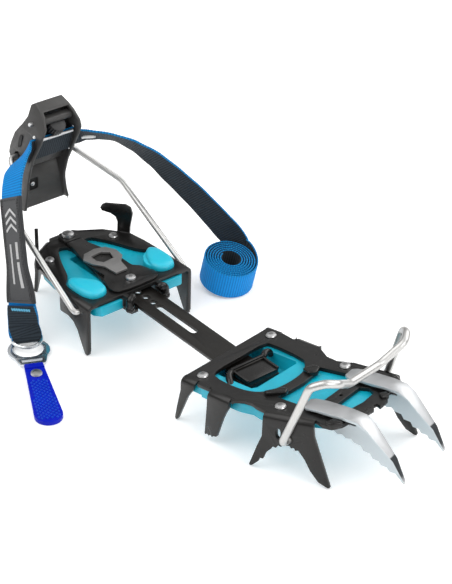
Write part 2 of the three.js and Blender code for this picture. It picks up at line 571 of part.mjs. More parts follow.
function toeBail() {
  const axis = TOE_PIVOT_FAR.clone().sub(TOE_PIVOT_NEAR).normalize();
  const top = [[101.3, 42.9, 75], [108, 37.5, 78.4], [112, 30.5, 76.6], [107, 14, 66.5]];
  const near = top.map(([x, y, z]) => frontPoint(x, -y, z));
  const far = top.map(([x, y, z]) => frontPoint(x, y, z)).reverse();
  const corners = [
    TOE_PIVOT_NEAR.clone().addScaledVector(axis, 6),
    TOE_PIVOT_NEAR.clone().addScaledVector(axis, -5), ...near, ...far,
    TOE_PIVOT_FAR.clone().addScaledVector(axis, 5), TOE_PIVOT_FAR.clone().addScaledVector(axis, -6),
  ];
  return wire(rounded(corners, 3), TOE_WIRE, 76, 8);
}

// ---- heel lever ----------------------------------------------------------------------
const LEVER_FRONT = [[-98.3, 135.7], [-92, 133], [-86.9, 129], [-83, 122.3], [-83.6, 117.5],
  [-86, 111], [-94.1, 97], [-99.6, 86], [-103.4, 74], [-104.1, 61.3], [-103.6, 54]];
const LEVER_BACK = [[-109.6, 53.4], [-110.6, 64], [-110.6, 72], [-114.5, 81], [-121.6, 86.4],
  [-123.2, 92], [-120, 101], [-115.6, 109.6], [-108, 118], [-103.6, 125], [-102.6, 133]];
const LEVER_INSIDE = [[-60, 131.2], [-96.4, 131.2], [-100, 124.6], [-105.6, 115.6], [-112.6, 108],
  [-117.8, 100], [-120.9, 92.4], [-120, 88.6], [-111.8, 82.8], [-107.8, 72], [-107.8, 64],
  [-107, 50], [-60, 50]];
const STRAP_SEAT = vec(-96, 0, 103.5);
const STRAP_LEAN = vec(0.36, 0, 0.933);
const LEVER_WIDTH = [[10.4, 137], [13.4, 127], [16.6, 116], [17.2, 96], [16.4, 84], [16.2, 70],
  [17.6, 60], [19, 53]];

// Outline (y, z) of the lever seen from the front, `less` narrower each side.
function leverFrontView(less) {
  const right = LEVER_WIDTH.map(([w, z]) => [w - less, z]);
  return [...right, ...right.map(([w, z]) => [-w, z]).reverse()].reverse();
}

// A round-ended slot (x, z) about `centre`, running `reach` each way along `along`.
function slotOutline(centre, along, reach, radius) {
  const heading = Math.atan2(along.z, along.x);
  const points = [];
  for (const [end, turn] of [[-reach, Math.PI / 2], [reach, -Math.PI / 2]]) {
    for (let i = 0; i <= 6; i += 1) {
      const a = heading + turn + (i / 6) * Math.PI;
      points.push([centre.x + along.x * end + radius * Math.cos(a),
        centre.z + along.z * end + radius * Math.sin(a)]);
    }
  }
  return points;
}

function leverShell() {
  const acrossX = (points, low, high) => prism(points, low, high, vec(0, 0, 0), vec(0, 1, 0), vec(0, 0, 1));
  const body = toSolid(sidePrism([...LEVER_FRONT, ...LEVER_BACK], -22, 22))
    .intersect(toSolid(acrossX(leverFrontView(0), -140, -60)));
  const cavity = toSolid(sidePrism(LEVER_INSIDE, -22, 22))
    .intersect(toSolid(acrossX(leverFrontView(2.4), -140, -50)));
  const axleSlot = slotOutline(AXLE, SCREW_DIR, 2.3, 2.5);
  const strapSlot = slotOutline(STRAP_SEAT, STRAP_LEAN, 9.8, 1.5);
  const window = [[-128, 66], [-100, 66], [-100, 74], [-128, 74]];
  return toGeometry(body.subtract(cavity)
    .subtract(toSolid(sidePrism(strapSlot, -25, 25)))
    .subtract(toSolid(sidePrism(axleSlot, -25, 25)))
    .subtract(toSolid(sidePrism(window, -12, -4))));
}

const WHEEL_AT = AXLE.clone().addScaledVector(SCREW_DIR, 35.4);

function adjusterWheel() {
  const outline = [];
  const teeth = 20;
  for (let i = 0; i < teeth * 2; i += 1) {
    const a = (i / (teeth * 2)) * Math.PI * 2;
    const r = i % 2 ? 5.5 : 6.2;
    outline.push([r * Math.cos(a), r * Math.sin(a)]);
  }
  const side = vec(0, 1, 0);
  const wheel = prism(outline, -2.9, 3.6, WHEEL_AT, side, SCREW_DIR.clone().normalize().cross(side));
  const screw = turned([[0, -29], [1.2, -29], [1.2, 0], [0, 0]], WHEEL_AT, SCREW_DIR, 12);
  return solidFrom([wheel, screw]);
}

function carriage() {
  const along = SCREW_DIR.clone().normalize();
  const side = vec(0, 1, 0);
  const block = [[-6, -3.4], [6, -3.4], [6, 3.4], [-6, 3.4]];
  return solidFrom([prism(block, -3.2, 3.2, AXLE, side, along.clone().cross(side))], [
    turned([[0, -20], [HEEL_WIRE + GAP, -20], [HEEL_WIRE + GAP, 20], [0, 20]], AXLE, side, 16),
  ]);
}

function leverPin() {
  return turned([[0, -12.8], [1.1, -12.8], [1.1, 12.8], [0, 12.8]], vec(-90, 0, 112.2), vec(0, 1, 0), 12);
}

// ---- strap ---------------------------------------------------------------------------
const STRAP_MIDDLE = [[vec(-96, -13.4, 103.5), STRAP_LEAN], [vec(-96, 13.4, 103.5), STRAP_LEAN]];
const STRAP_RUN = [
  [vec(-96, 13.9, 103.5), STRAP_LEAN], [vec(-96, 16, 103.5), STRAP_LEAN],
  [vec(-95.8, 19.4, 103.6), vec(0.5, -0.2, 0.84)], [vec(-92, 24.8, 104.2), vec(0.58, -0.42, 0.7)],
  [vec(-85.5, 30.6, 104.6), vec(0.6, -0.5, 0.65)], [vec(-77.9, 38.9, 103.2), vec(0.62, -0.5, 0.62)],
  [vec(-69.4, 48.7, 97.6), vec(0.6, -0.36, 0.7)], [vec(-60.2, 59.2, 87.8), vec(0.6, -0.15, 0.75)],
  [vec(-51.3, 69.4, 74.8), vec(0.58, 0, 0.8)], [vec(-41.9, 80.2, 60.1), vec(0.57, 0.12, 0.8)],
  [vec(-30.9, 92.9, 40.6), vec(0.5, 0.18, 0.8)], [vec(-25.8, 99.6, 30), vec(0.4, 0.16, 0.85)],
  [vec(-22.4, 104.2, 22.4), vec(0.3, 0.1, 0.92)],
];
const STRAP_TAIL = [
  [vec(-96, -13.9, 103.5), STRAP_LEAN], [vec(-96, -16, 103.5), STRAP_LEAN],
  [vec(-95.8, -19.4, 103.6), STRAP_LEAN], [vec(-88.8, -31, 104), vec(0.7, 0.3, 0.7)],
  [vec(-80, -42, 100.6), vec(0.86, 0.16, 0.5)], [vec(-71.6, -50, 90.4), vec(0.9, 0.12, 0.4)],
  [vec(-63.8, -54.4, 74.1), vec(0.92, 0.1, 0.36)], [vec(-53.7, -59.4, 52.7), vec(0.92, 0.12, 0.36)],
  [vec(-44.2, -64.1, 29.6), vec(0.9, 0.2, 0.34)], [vec(-41.6, -65.1, 15.4), vec(0.74, 0.5, 0.24)],
  [vec(-40.6, -65.5, 8.6), vec(0.5, 0.86, 0.06)],
];

function coil() {
  const half = STRAP_WIDTH / 2;
  const ring = new THREE.LatheGeometry([[COIL_HOLE, -half], [COIL_RADIUS, -half], [COIL_RADIUS, half],
    [COIL_HOLE, half], [COIL_HOLE, -half]].map(([r, h]) => new THREE.Vector2(r, h)), 32);
  return ring.rotateX(Math.PI / 2).rotateY(COIL_TILT)
    .translate(COIL_CENTRE.x, COIL_CENTRE.y, COIL_CENTRE.z);
}

// The rings and the pull tab lie on the ground, in line with TAB_DIR.
const TAB_DIR = vec(0.9, -0.43, 0).normalize();
const TAB_SIDE = vec(0.43, 0.9, 0).normalize();
const RING_CENTRE = vec(-36.8, -65.9, 4.6);
const LOOP_CENTRE = vec(-28.6, -70.1, 0);

// Round wire ring with a bar across it that the strap is sewn round.
function strapRing() {
  const ring = new THREE.TorusGeometry(9.6, 1.25, 8, 28);
  const bar = new THREE.CylinderGeometry(1, 1, 19, 10);
  const lean = new THREE.Quaternion().setFromAxisAngle(TAB_SIDE, THREE.MathUtils.degToRad(5));
  const turn = new THREE.Matrix4().makeBasis(TAB_DIR, TAB_SIDE, vec(0, 0, 1));
  return solidFrom([ring, bar]).applyMatrix4(turn).applyQuaternion(lean)
    .translate(RING_CENTRE.x, RING_CENTRE.y, RING_CENTRE.z);
}

// Flat pressed loop under the ring, with a slot for the pull tab.
function tabLoop() {
  const outline = [];
  for (let i = 0; i <= 18; i += 1) {
    const a = Math.PI * (0.28 + (i / 18) * 1.44);
    outline.push([14 * Math.cos(a), 14 * Math.sin(a)]);
  }
  outline.push([14.6, -9.4], [17.4, -8], [17.4, 8], [14.6, 9.4]);
  const slot = [[12, -6.6], [14.2, -6.6], [14.2, 6.6], [12, 6.6]];
  return solidFrom([prism(outline, 0.4, 2.2, LOOP_CENTRE, TAB_DIR, TAB_SIDE)], [
    prism(circle(-1.2, 0, 9.8, 24), -1, 5, LOOP_CENTRE, TAB_DIR, TAB_SIDE),
    prism(slot, -1, 5, LOOP_CENTRE, TAB_DIR, TAB_SIDE),
  ]);
}

// Tapered rubber tab: narrow at the loop, wide and round at its free end.
const TAB_ORIGIN = LOOP_CENTRE.clone().addScaledVector(TAB_DIR, 17.8);
const TAB_LENGTH = 66;
const SNAP_AT = 12;

function pullTab() {
  const outline = [[0, -6], [TAB_LENGTH - 9, -9]];
  for (let i = 1; i < 10; i += 1) {
    const a = -Math.PI / 2 + (i / 10) * Math.PI;
    outline.push([TAB_LENGTH - 9 + 9 * Math.cos(a), 9 * Math.sin(a)]);
  }
  outline.push([TAB_LENGTH - 9, 9], [0, 6]);
  return solidFrom([prism(outline, 0.2, 2.8, TAB_ORIGIN, TAB_DIR, TAB_SIDE)],
    [prism(circle(SNAP_AT, 0, 1.4 + GAP), -1, 5, TAB_ORIGIN, TAB_DIR, TAB_SIDE)]);
}

function tabSnap() {
  return turned([[0, 0.3], [1.4, 0.3], [1.4, 2.8 + GAP], [4, 2.8 + GAP], [3.6, 4.2], [1.6, 4.5],
    [0, 4.5]], TAB_ORIGIN.clone().addScaledVector(TAB_DIR, SNAP_AT), vec(0, 0, 1), 18);
}

function labelPatch() {
  const lift = STRAP_THICK / 2 + GAP + 0.55;
  return strip(STRAP_TAIL, STRAP_WIDTH + 0.6, 0.8, 12, [0.5, 0.79], lift);
}

// ---- assembly ------------------------------------------------------------------------
// The part's origin is on the ground under the middle of the metal parts.
const MIDDLE = vec(57.48, 8.39, -0.03);
const crampon = new THREE.Group();
crampon.position.copy(MIDDLE).negate();

function add(name, geometry, look) {
  const [color, roughness, metalness] = COLOURS[look];
  geometry.computeVertexNormals();
  const mesh = new THREE.Mesh(geometry, new THREE.MeshStandardMaterial({ color, roughness, metalness }));
  mesh.name = name;
  crampon.add(mesh);
}

add('front_frame', frontFrame(), 'frame');
add('front_antiball_plate', frontAntiball(), 'antiball');
add('front_point_right', frontPointGeometry(POINT_ROOTS.right), 'steel');
add('front_point_left', frontPointGeometry(POINT_ROOTS.left), 'steel');
const trayGrip = SHEET + GAP + TRAY_WALL;
FRONT_RIVETS.forEach(([x, y], i) => {
  add(`front_rivet_${i + 1}`, rivetGeometry(FRONT, x, y, 0, trayGrip), 'steel');
});
add('toe_bail', toeBail(), 'steel');
add('link_bar', linkBar(), 'bar');
add('heel_frame', heelFrame(), 'frame');
add('heel_antiball_plate', heelAntiball(), 'antiball');
HEEL_RIVETS.forEach(([x, y], i) => {
  add(`heel_rivet_${i + 1}`, rivetGeometry(HEEL, x, y, 0, trayGrip, 3.2), 'steel');
});
add('rear_bolt', rearBolt(), 'steel');
add('rear_nut', rearNut(), 'steel');
add('lock_clamp', lockClamp(), 'frame');
add('lock_leaf', lockLeaf(), 'frame');
add('lock_tab', lockTab(), 'lock');
add('lock_peg', lockPeg(), 'steel');
add('heel_bail', heelBail(), 'steel');
add('adjuster_carriage', carriage(), 'steel');
add('adjuster_wheel', adjusterWheel(), 'frame');
add('lever_shell', leverShell(), 'lever');
add('lever_pin', leverPin(), 'steel');
add('strap_middle', strip(STRAP_MIDDLE, STRAP_WIDTH, STRAP_THICK, 2), 'webbing');
add('strap_run', strip(STRAP_RUN, STRAP_WIDTH, STRAP_THICK, 30), 'webbing');
add('strap_tail', strip(STRAP_TAIL, STRAP_WIDTH, STRAP_THICK, 26), 'webbing');
add('strap_coil', coil(), 'coil');
add('label_patch', labelPatch(), 'label');
add('strap_ring', strapRing(), 'steel');
add('tab_loop', tabLoop(), 'steel');
add('pull_tab', pullTab(), 'tab');
add('tab_snap', tabSnap(), 'steel');

export default crampon;
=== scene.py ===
"""Looks of the crampon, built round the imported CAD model.

Shapes below are given in millimetres of the drawing, and at() turns them into metres of the frame."""

import math

import bmesh
import bpy
from mathutils import Matrix, Vector


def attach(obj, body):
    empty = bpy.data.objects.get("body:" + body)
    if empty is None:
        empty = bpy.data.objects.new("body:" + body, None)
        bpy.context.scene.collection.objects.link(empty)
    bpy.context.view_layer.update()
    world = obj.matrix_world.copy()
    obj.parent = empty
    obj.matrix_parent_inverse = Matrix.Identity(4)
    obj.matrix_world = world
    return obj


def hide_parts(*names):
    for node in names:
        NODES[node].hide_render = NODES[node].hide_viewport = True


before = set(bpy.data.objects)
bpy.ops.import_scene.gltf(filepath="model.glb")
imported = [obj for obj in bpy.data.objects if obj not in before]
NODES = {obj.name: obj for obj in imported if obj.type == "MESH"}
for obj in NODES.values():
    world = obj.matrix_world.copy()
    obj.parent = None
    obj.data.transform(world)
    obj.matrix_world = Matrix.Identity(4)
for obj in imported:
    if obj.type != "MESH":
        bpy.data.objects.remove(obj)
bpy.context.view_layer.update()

# Where the frame's origin, under the middle of the metal parts, lies in the drawing.
MIDDLE = Vector((57.48, 8.39, -0.03))
MM = 0.001

# The front plate's place and turn in the drawing, and the heading of its two points.
FRONT_X, FRONT_Y, FRONT_Z = 88.06, -0.28, 32.95
FRONT_YAW = math.radians(7.19)
FRONT_PITCH = math.radians(-5.92)
POINT_HEADING = math.radians(14.19)


def at(x, y, z):
    return (Vector((x, y, z)) - MIDDLE) * MM


# ---- camera, lights and floor ---------------------------------------------------------
CAMERA_AT = (799.5, -622.1, 656.0)
CAMERA_AZIMUTH = math.radians(48.95)
CAMERA_ELEVATION = math.radians(31.54)
CAMERA_ROLL = math.radians(1.54)
CAMERA_LENS = 111.84


def make_camera():
    az, el, roll = CAMERA_AZIMUTH, CAMERA_ELEVATION, CAMERA_ROLL
    back = Vector((math.sin(az) * math.cos(el), -math.cos(az) * math.cos(el), math.sin(el)))
    right = Vector((math.cos(az), math.sin(az), 0))
    up = back.cross(right)
    turned_right = right * math.cos(roll) + up * math.sin(roll)
    turned_up = up * math.cos(roll) - right * math.sin(roll)
    data = bpy.data.cameras.new("camera")
    data.sensor_width = 36
    data.lens = CAMERA_LENS
    data.clip_start, data.clip_end = 0.05, 20
    camera = bpy.data.objects.new("camera", data)
    turn = Matrix((turned_right, turned_up, back)).transposed().to_4x4()
    camera.matrix_world = Matrix.Translation(at(*CAMERA_AT)) @ turn
    bpy.context.scene.collection.objects.link(camera)
    bpy.context.scene.camera = camera


def area_light(name, place, target, size, power):
    data = bpy.data.lights.new(name, "AREA")
    data.shape = "RECTANGLE"
    data.size, data.size_y = size
    data.energy = power
    lamp = bpy.data.objects.new(name, data)
    lamp.location = place
    lamp.rotation_euler = (Vector(target) - Vector(place)).to_track_quat("-Z", "Y").to_euler()
    bpy.context.scene.collection.objects.link(lamp)


def make_world():
    world = bpy.data.worlds.new("studio")
    world.use_nodes = True
    tree = world.node_tree
    back = tree.nodes["Background"]
    coords = tree.nodes.new("ShaderNodeTexCoord")
    split = tree.nodes.new("ShaderNodeSeparateXYZ")
    ramp = tree.nodes.new("ShaderNodeValToRGB")
    stops = [(0.0, 0.95), (0.48, 0.85), (0.52, 0.22), (0.62, 0.3), (0.74, 0.85), (1.0, 1.05)]
    while len(ramp.color_ramp.elements) < len(stops):
        ramp.color_ramp.elements.new(0.5)
    for element, (place, grey) in zip(ramp.color_ramp.elements, stops):
        element.position = place
        element.color = (grey, grey, grey, 1)
    lift = tree.nodes.new("ShaderNodeMath")
    lift.operation = "MULTIPLY_ADD"
    lift.inputs[1].default_value = 0.5
    lift.inputs[2].default_value = 0.5
    tree.links.new(coords.outputs["Generated"], split.inputs[0])
    tree.links.new(split.outputs["Z"], lift.inputs[0])
    tree.links.new(lift.outputs[0], ramp.inputs[0])
    tree.links.new(ramp.outputs[0], back.inputs["Color"])
    back.inputs["Strength"].default_value = 0.74
    bpy.context.scene.world = world


# ---- materials ------------------------------------------------------------------------
NOISE_ROUGHNESS = 0.55
# Metres along a front point, from its foot, over which the painted dark reflection on the ground tip sets in.
TIP_DARK_REFLECTION = (0.0562, 0.0568)


class Look:
    """One procedural material: a Principled shader and the nodes that feed it."""

    def __init__(self, name, **constants):
        self.material = bpy.data.materials.new(name)
        self.material.use_nodes = True
        self.tree = self.material.node_tree
        self.shader = self.tree.nodes["Principled BSDF"]
        for key, value in constants.items():
            self.shader.inputs[key.replace("_", " ")].default_value = value
        self.coords = self.add("ShaderNodeTexCoord")
        self.bump = None

    def add(self, kind, **settings):
        node = self.tree.nodes.new(kind)
        for key, value in settings.items():
            setattr(node, key, value)
        return node

    def link(self, source, target):
        self.tree.links.new(source, target)

    def noise(self, scale, detail, stretch=(1, 1, 1)):
        mapping = self.add("ShaderNodeMapping")
        mapping.inputs["Scale"].default_value = stretch
        self.link(self.coords.outputs["Object"], mapping.inputs[0])
        node = self.add("ShaderNodeTexNoise")
        node.inputs["Scale"].default_value = scale
        node.inputs["Detail"].default_value = detail
        node.inputs["Roughness"].default_value = NOISE_ROUGHNESS
        self.link(mapping.outputs[0], node.inputs["Vector"])
        return node.outputs["Fac"]

    def math(self, operation, a, b=None, c=None, clamp=False):
        node = self.add("ShaderNodeMath", operation=operation, use_clamp=clamp)
        for socket, value in zip(node.inputs, (a, b, c)):
            if value is None:
                continue
            if isinstance(value, (int, float)):
                socket.default_value = value
            else:
                self.link(value, socket)
        return node.outputs[0]

    def axis(self, letter, output="Object"):
        split = self.add("ShaderNodeSeparateXYZ")
        self.link(self.coords.outputs[output], split.inputs[0])
        return split.outputs[letter]

    def span(self, value, low, high, out_low=0.0, out_high=1.0):
        node = self.add("ShaderNodeMapRange")
        node.inputs["From Min"].default_value = low
        node.inputs["From Max"].default_value = high
        node.inputs["To Min"].default_value = out_low
        node.inputs["To Max"].default_value = out_high
        self.link(value, node.inputs["Value"])
        return node.outputs[0]

    def mix(self, factor, a, b):
        node = self.add("ShaderNodeMix", data_type="RGBA")
        self.link(factor, node.inputs["Factor"])
        for socket, value in ((node.inputs[6], a), (node.inputs[7], b)):
            if isinstance(value, tuple):
                socket.default_value = (*value, 1)
            else:
                self.link(value, socket)
        return node.outputs[2]

    def colour(self, value):
        self.link(value, self.shader.inputs["Base Color"])

    def roughness(self, value):
        self.link(value, self.shader.inputs["Roughness"])

    def relief(self, height, depth, strength):
        node = self.add("ShaderNodeBump")
        node.inputs["Strength"].default_value = strength
        node.inputs["Distance"].default_value = depth
        self.link(height, node.inputs["Height"])
        if self.bump:
            self.link(self.bump, node.inputs["Normal"])
        self.bump = node.outputs["Normal"]
        self.link(self.bump, self.shader.inputs["Normal"])


def coated_steel(name, dark, light, low=0.3, high=0.46):
    look = Look(name, Metallic=0.55, Coat_Weight=0.18, Coat_Roughness=0.2)
    look.colour(look.mix(look.noise(55, 4), dark, light))
    look.roughness(look.span(look.noise(160, 5), 0.3, 0.7, low, high))
    look.relief(look.noise(2600, 2), 0.00002, 0.5)
    return look.material


def bare_steel(name, base, low, high, grain=(1, 1, 1), fine=0.00001):
    look = Look(name, Metallic=1.0)
    shade = tuple(c * 0.86 for c in base)
    look.colour(look.mix(look.noise(70, 4), shade, base))
    look.roughness(look.span(look.noise(220, 4, grain), 0.3, 0.7, low, high))
    look.relief(look.noise(1800, 3, grain), fine, 0.6)
    return look.material


def point_steel(name, root):
    """Bright ridge, the web on the sides painted paler blue-grey as a painted reflection, and a painted dark
    reflection on the upward faces of the tip.
    """
    look = Look(name)
    foot = Matrix.Rotation(FRONT_YAW, 2) @ Vector(root)
    foot = at(foot.x + FRONT_X, foot.y + FRONT_Y, 0)
    ahead = Vector((math.cos(POINT_HEADING), math.sin(POINT_HEADING)))
    x = look.math("MULTIPLY", look.axis("X"), ahead.x)
    along = look.math("MULTIPLY_ADD", look.axis("Y"), ahead.y, x)
    start = foot.x * ahead.x + foot.y * ahead.y
    tip = look.span(along, start + TIP_DARK_REFLECTION[0], start + TIP_DARK_REFLECTION[1])
    lean = look.math("MULTIPLY", look.axis("X", "Normal"), -ahead.y)
    facing = look.math("ABSOLUTE", look.math("MULTIPLY_ADD", look.axis("Y", "Normal"), ahead.x, lean))
    # Painted reflection: faces on the point's sides get a paler blue-grey, less metallic colour.
    side_reflection = look.span(facing, 0.72, 0.9)
    upward = look.span(look.axis("Z", "Normal"), 0.2, 0.35)
    cloud = look.noise(60, 4)
    bright = look.mix(cloud, (0.50, 0.51, 0.52), (0.64, 0.65, 0.66))
    painted_pale = look.mix(cloud, (0.50, 0.56, 0.59), (0.58, 0.64, 0.67))
    steel_and_reflection = look.mix(side_reflection, bright, painted_pale)
    # Painted dark reflection on the upward faces near the tip.
    look.colour(look.mix(look.math("MULTIPLY", tip, upward), steel_and_reflection, (0.06, 0.065, 0.07)))
    look.link(look.span(side_reflection, 0, 1, 1.0, 0.35), look.shader.inputs["Metallic"])
    look.roughness(look.span(look.noise(120, 4), 0.3, 0.7, 0.38, 0.5))
    look.relief(look.noise(900, 2), 0.000003, 0.3)
    return look.material


def plastic(name, dark, light, rough=(0.4, 0.55), grain=2400, depth=0.00004, **constants):
    look = Look(name, **constants)
    look.colour(look.mix(look.noise(60, 3), dark, light))
    look.roughness(look.span(look.noise(300, 3), 0.3, 0.7, *rough))
    look.relief(look.noise(grain, 2), depth, 0.6)
    return look.material


def antiball(name, highlight_from=None, highlight_to=None):
    """Flexible turquoise plastic, with a painted highlight that makes it paler where it stands up as a lobe.
    """
    deep, middle, painted_pale = (0.0, 0.30, 0.41), (0.0, 0.41, 0.55), (0.008, 0.47, 0.62)
    look = Look(name, Subsurface_Weight=0.12, Subsurface_Scale=0.004, Coat_Weight=0.15, Coat_Roughness=0.3)
    base = look.mix(look.span(look.noise(26, 3), 0.35, 0.65), deep, middle)
    # Painted highlight: paler above the given height, where the lobes stand up.
    if highlight_from is not None:
        base = look.mix(look.span(look.axis("Z"), highlight_from, highlight_to), base, painted_pale)
    look.colour(base)
    look.roughness(look.span(look.noise(120, 3), 0.3, 0.7, 0.36, 0.5))
    look.relief(look.noise(900, 2), 0.00005, 0.4)
    return look.material


RIB = 1.75 * MM
THREAD = 0.62 * MM
LABEL_THREAD_STEP = 0.0004


def webbing(name, shaded_valley, lit_crest, sheen):
    """Woven strap: cross ribs along U and threads across V, both in metres, coloured darker in the valleys as
    painted shade and lighter on the crests as a painted highlight.
    """
    look = Look(name, Sheen_Weight=sheen, Sheen_Roughness=0.4, Specular_IOR_Level=0.25)
    along, across = look.axis("X", "UV"), look.axis("Y", "UV")
    rib = look.math("ABSOLUTE", look.math("SINE", look.math("MULTIPLY", along, math.pi / RIB)))
    row = look.math("MULTIPLY", look.math("FLOOR", look.math("DIVIDE", along, RIB)), math.pi / 2)
    phase = look.math("MULTIPLY_ADD", across, math.pi / THREAD, row)
    thread = look.math("ABSOLUTE", look.math("SINE", phase))
    height = look.math("MULTIPLY", rib, look.math("MULTIPLY_ADD", thread, 0.5, 0.5))
    fleck = look.math("MULTIPLY_ADD", look.noise(900, 2), 0.5, -0.25)
    # Painted shade in the weave's valleys and painted highlight on its crests, from the rib height.
    look.colour(look.mix(look.math("ADD", height, fleck, clamp=True), shaded_valley, lit_crest))
    look.shader.inputs["Roughness"].default_value = 0.75
    look.relief(height, 0.00022, 0.8)
    look.relief(look.noise(4200, 2), 0.00004, 0.5)
    return look.material


def woven_label():
    look = Look("label_weave", Sheen_Weight=0.2)
    along, across = look.axis("X", "UV"), look.axis("Y", "UV")
    a = look.math("SINE", look.math("MULTIPLY", along, math.pi / LABEL_THREAD_STEP))
    b = look.math("SINE", look.math("MULTIPLY", across, math.pi / LABEL_THREAD_STEP))
    height = look.math("MULTIPLY_ADD", look.math("MULTIPLY", a, b), 0.5, 0.5)
    inside = look.span(look.math("ABSOLUTE", across), 0.0078, 0.0088)
    # Painted highlight on the thread tops and painted shade between them.
    face = look.mix(height, (0.034, 0.035, 0.037), (0.066, 0.068, 0.072))
    look.colour(look.mix(inside, face, (0.018, 0.019, 0.021)))
    look.shader.inputs["Roughness"].default_value = 0.82
    look.relief(height, 0.00006, 0.7)
    return look.material


def thread_look(name, dark, light):
    look = Look(name, Sheen_Weight=0.3)
    look.colour(look.mix(look.noise(1500, 2), dark, light))
    look.shader.inputs["Roughness"].default_value = 0.7
    look.relief(look.noise(5000, 2), 0.00005, 0.6)
    return look.material


PLATE = coated_steel("plate_coating", (0.011, 0.0105, 0.010), (0.023, 0.022, 0.021), low=0.26, high=0.42)
BAR = coated_steel("bar_coating", (0.011, 0.0095, 0.008), (0.020, 0.018, 0.015))
HOOK = coated_steel("hook_coating", (0.008, 0.008, 0.008), (0.018, 0.017, 0.016), low=0.18, high=0.3)
POINT_RIGHT = point_steel("point_steel_right", (84.3, -19))
POINT_LEFT = point_steel("point_steel_left", (81.7, 22.7))
WIRE = bare_steel("wire_steel", (0.62, 0.615, 0.60), 0.34, 0.44, (0.3, 0.3, 0.3))
LOCK = bare_steel("lock_steel", (0.34, 0.335, 0.33), 0.5, 0.66, fine=0.00006)
RIVET = bare_steel("rivet_steel", (0.66, 0.66, 0.66), 0.24, 0.4, fine=0.00003)
ZINC = bare_steel("ring_zinc", (0.68, 0.71, 0.74), 0.14, 0.3)
BALL_FRONT = antiball("antiball_front")
BALL_HEEL = antiball("antiball_heel", 0.0365, 0.0392)
BALL_PAD = antiball("antiball_pad", 0.0350, 0.0385)
# Near-black painted shade for the lever's openings.
HOLLOW_SHADE = plastic("hollow_painted_shade", (0.002, 0.002, 0.002), (0.004, 0.004, 0.004), (0.6, 0.8))
DIMPLE = bare_steel("dimple_steel", (0.30, 0.30, 0.30), 0.4, 0.55)
WHITE_PATCH = plastic("white_patch", (0.80, 0.80, 0.79), (0.88, 0.88, 0.87), (0.3, 0.45))
LEVER = plastic("lever_plastic", (0.032, 0.031, 0.030), (0.050, 0.048, 0.046), (0.42, 0.56))
LEVER_DARK = plastic("lever_dark", (0.010, 0.010, 0.011), (0.018, 0.018, 0.018), (0.35, 0.5))
BLUE = webbing("webbing_blue", (0.0, 0.13, 0.42), (0.0, 0.29, 0.74), sheen=0.0)
DARK = webbing("webbing_dark", (0.006, 0.010, 0.015), (0.026, 0.038, 0.050), sheen=0.12)
EDGE = webbing("webbing_edge", (0.0, 0.08, 0.26), (0.0, 0.25, 0.56), sheen=0.04)
LABEL = woven_label()
LABEL_THREAD = thread_look("label_thread", (0.012, 0.012, 0.013), (0.03, 0.03, 0.032))
PRINT_THREAD = thread_look("print_thread", (0.42, 0.42, 0.42), (0.62, 0.62, 0.62))
TACK_THREAD = thread_look("tack_thread", (0.05, 0.40, 0.66), (0.20, 0.62, 0.85))
# Raised diamonds: a lighter, glossier copy of the tab rubber, as a painted highlight.
TAB_CREST_HIGHLIGHT = plastic("tab_crest_highlight", (0.0, 0.035, 0.46), (0.0, 0.06, 0.56), (0.3, 0.42), Specular_IOR_Level=0.3)
TAB = plastic("tab_rubber", (0.0, 0.006, 0.34), (0.0, 0.012, 0.46), (0.34, 0.46), 1800, 0.00005,
              Specular_IOR_Level=0.15)

LOOKS = {
    "front_frame": PLATE, "heel_frame": PLATE, "lock_clamp": PLATE, "lock_leaf": PLATE, "link_bar": BAR,
    "front_antiball_plate": BALL_FRONT, "heel_antiball_plate": BALL_HEEL,
    "front_point_right": POINT_RIGHT, "front_point_left": POINT_LEFT, "toe_bail": WIRE, "heel_bail": WIRE,
    "lock_tab": LOCK, "lock_peg": RIVET, "rear_bolt": RIVET, "rear_nut": RIVET,
    "front_rivet_1": RIVET, "front_rivet_2": RIVET, "front_rivet_3": RIVET, "front_rivet_4": RIVET,
    "heel_rivet_1": RIVET, "heel_rivet_2": RIVET, "adjuster_carriage": LEVER_DARK, "lever_shell": LEVER,
    "adjuster_wheel": LEVER_DARK, "lever_pin": RIVET, "strap_ring": ZINC, "tab_loop": ZINC, "tab_snap": RIVET,
    "pull_tab": TAB, "label_patch": LABEL,
    "strap_middle": DARK, "strap_run": DARK, "strap_tail": DARK, "strap_coil": BLUE,
}
# Edge rounding of the CAD nodes, in millimetres.
ROUND = {"front_frame": 0.3, "heel_frame": 0.3, "lever_shell": 1.0, "front_antiball_plate": 0.5,
         "heel_antiball_plate": 0.7, "link_bar": 0.3, "lock_leaf": 0.3, "lock_tab": 0.35, "lock_clamp": 0.3,
         "front_point_right": 0.35, "front_point_left": 0.35, "tab_loop": 0.35, "adjuster_wheel": 0.25,
         "rear_nut": 0.3, "adjuster_carriage": 0.5}
SMOOTH_ANGLE = math.radians(38)


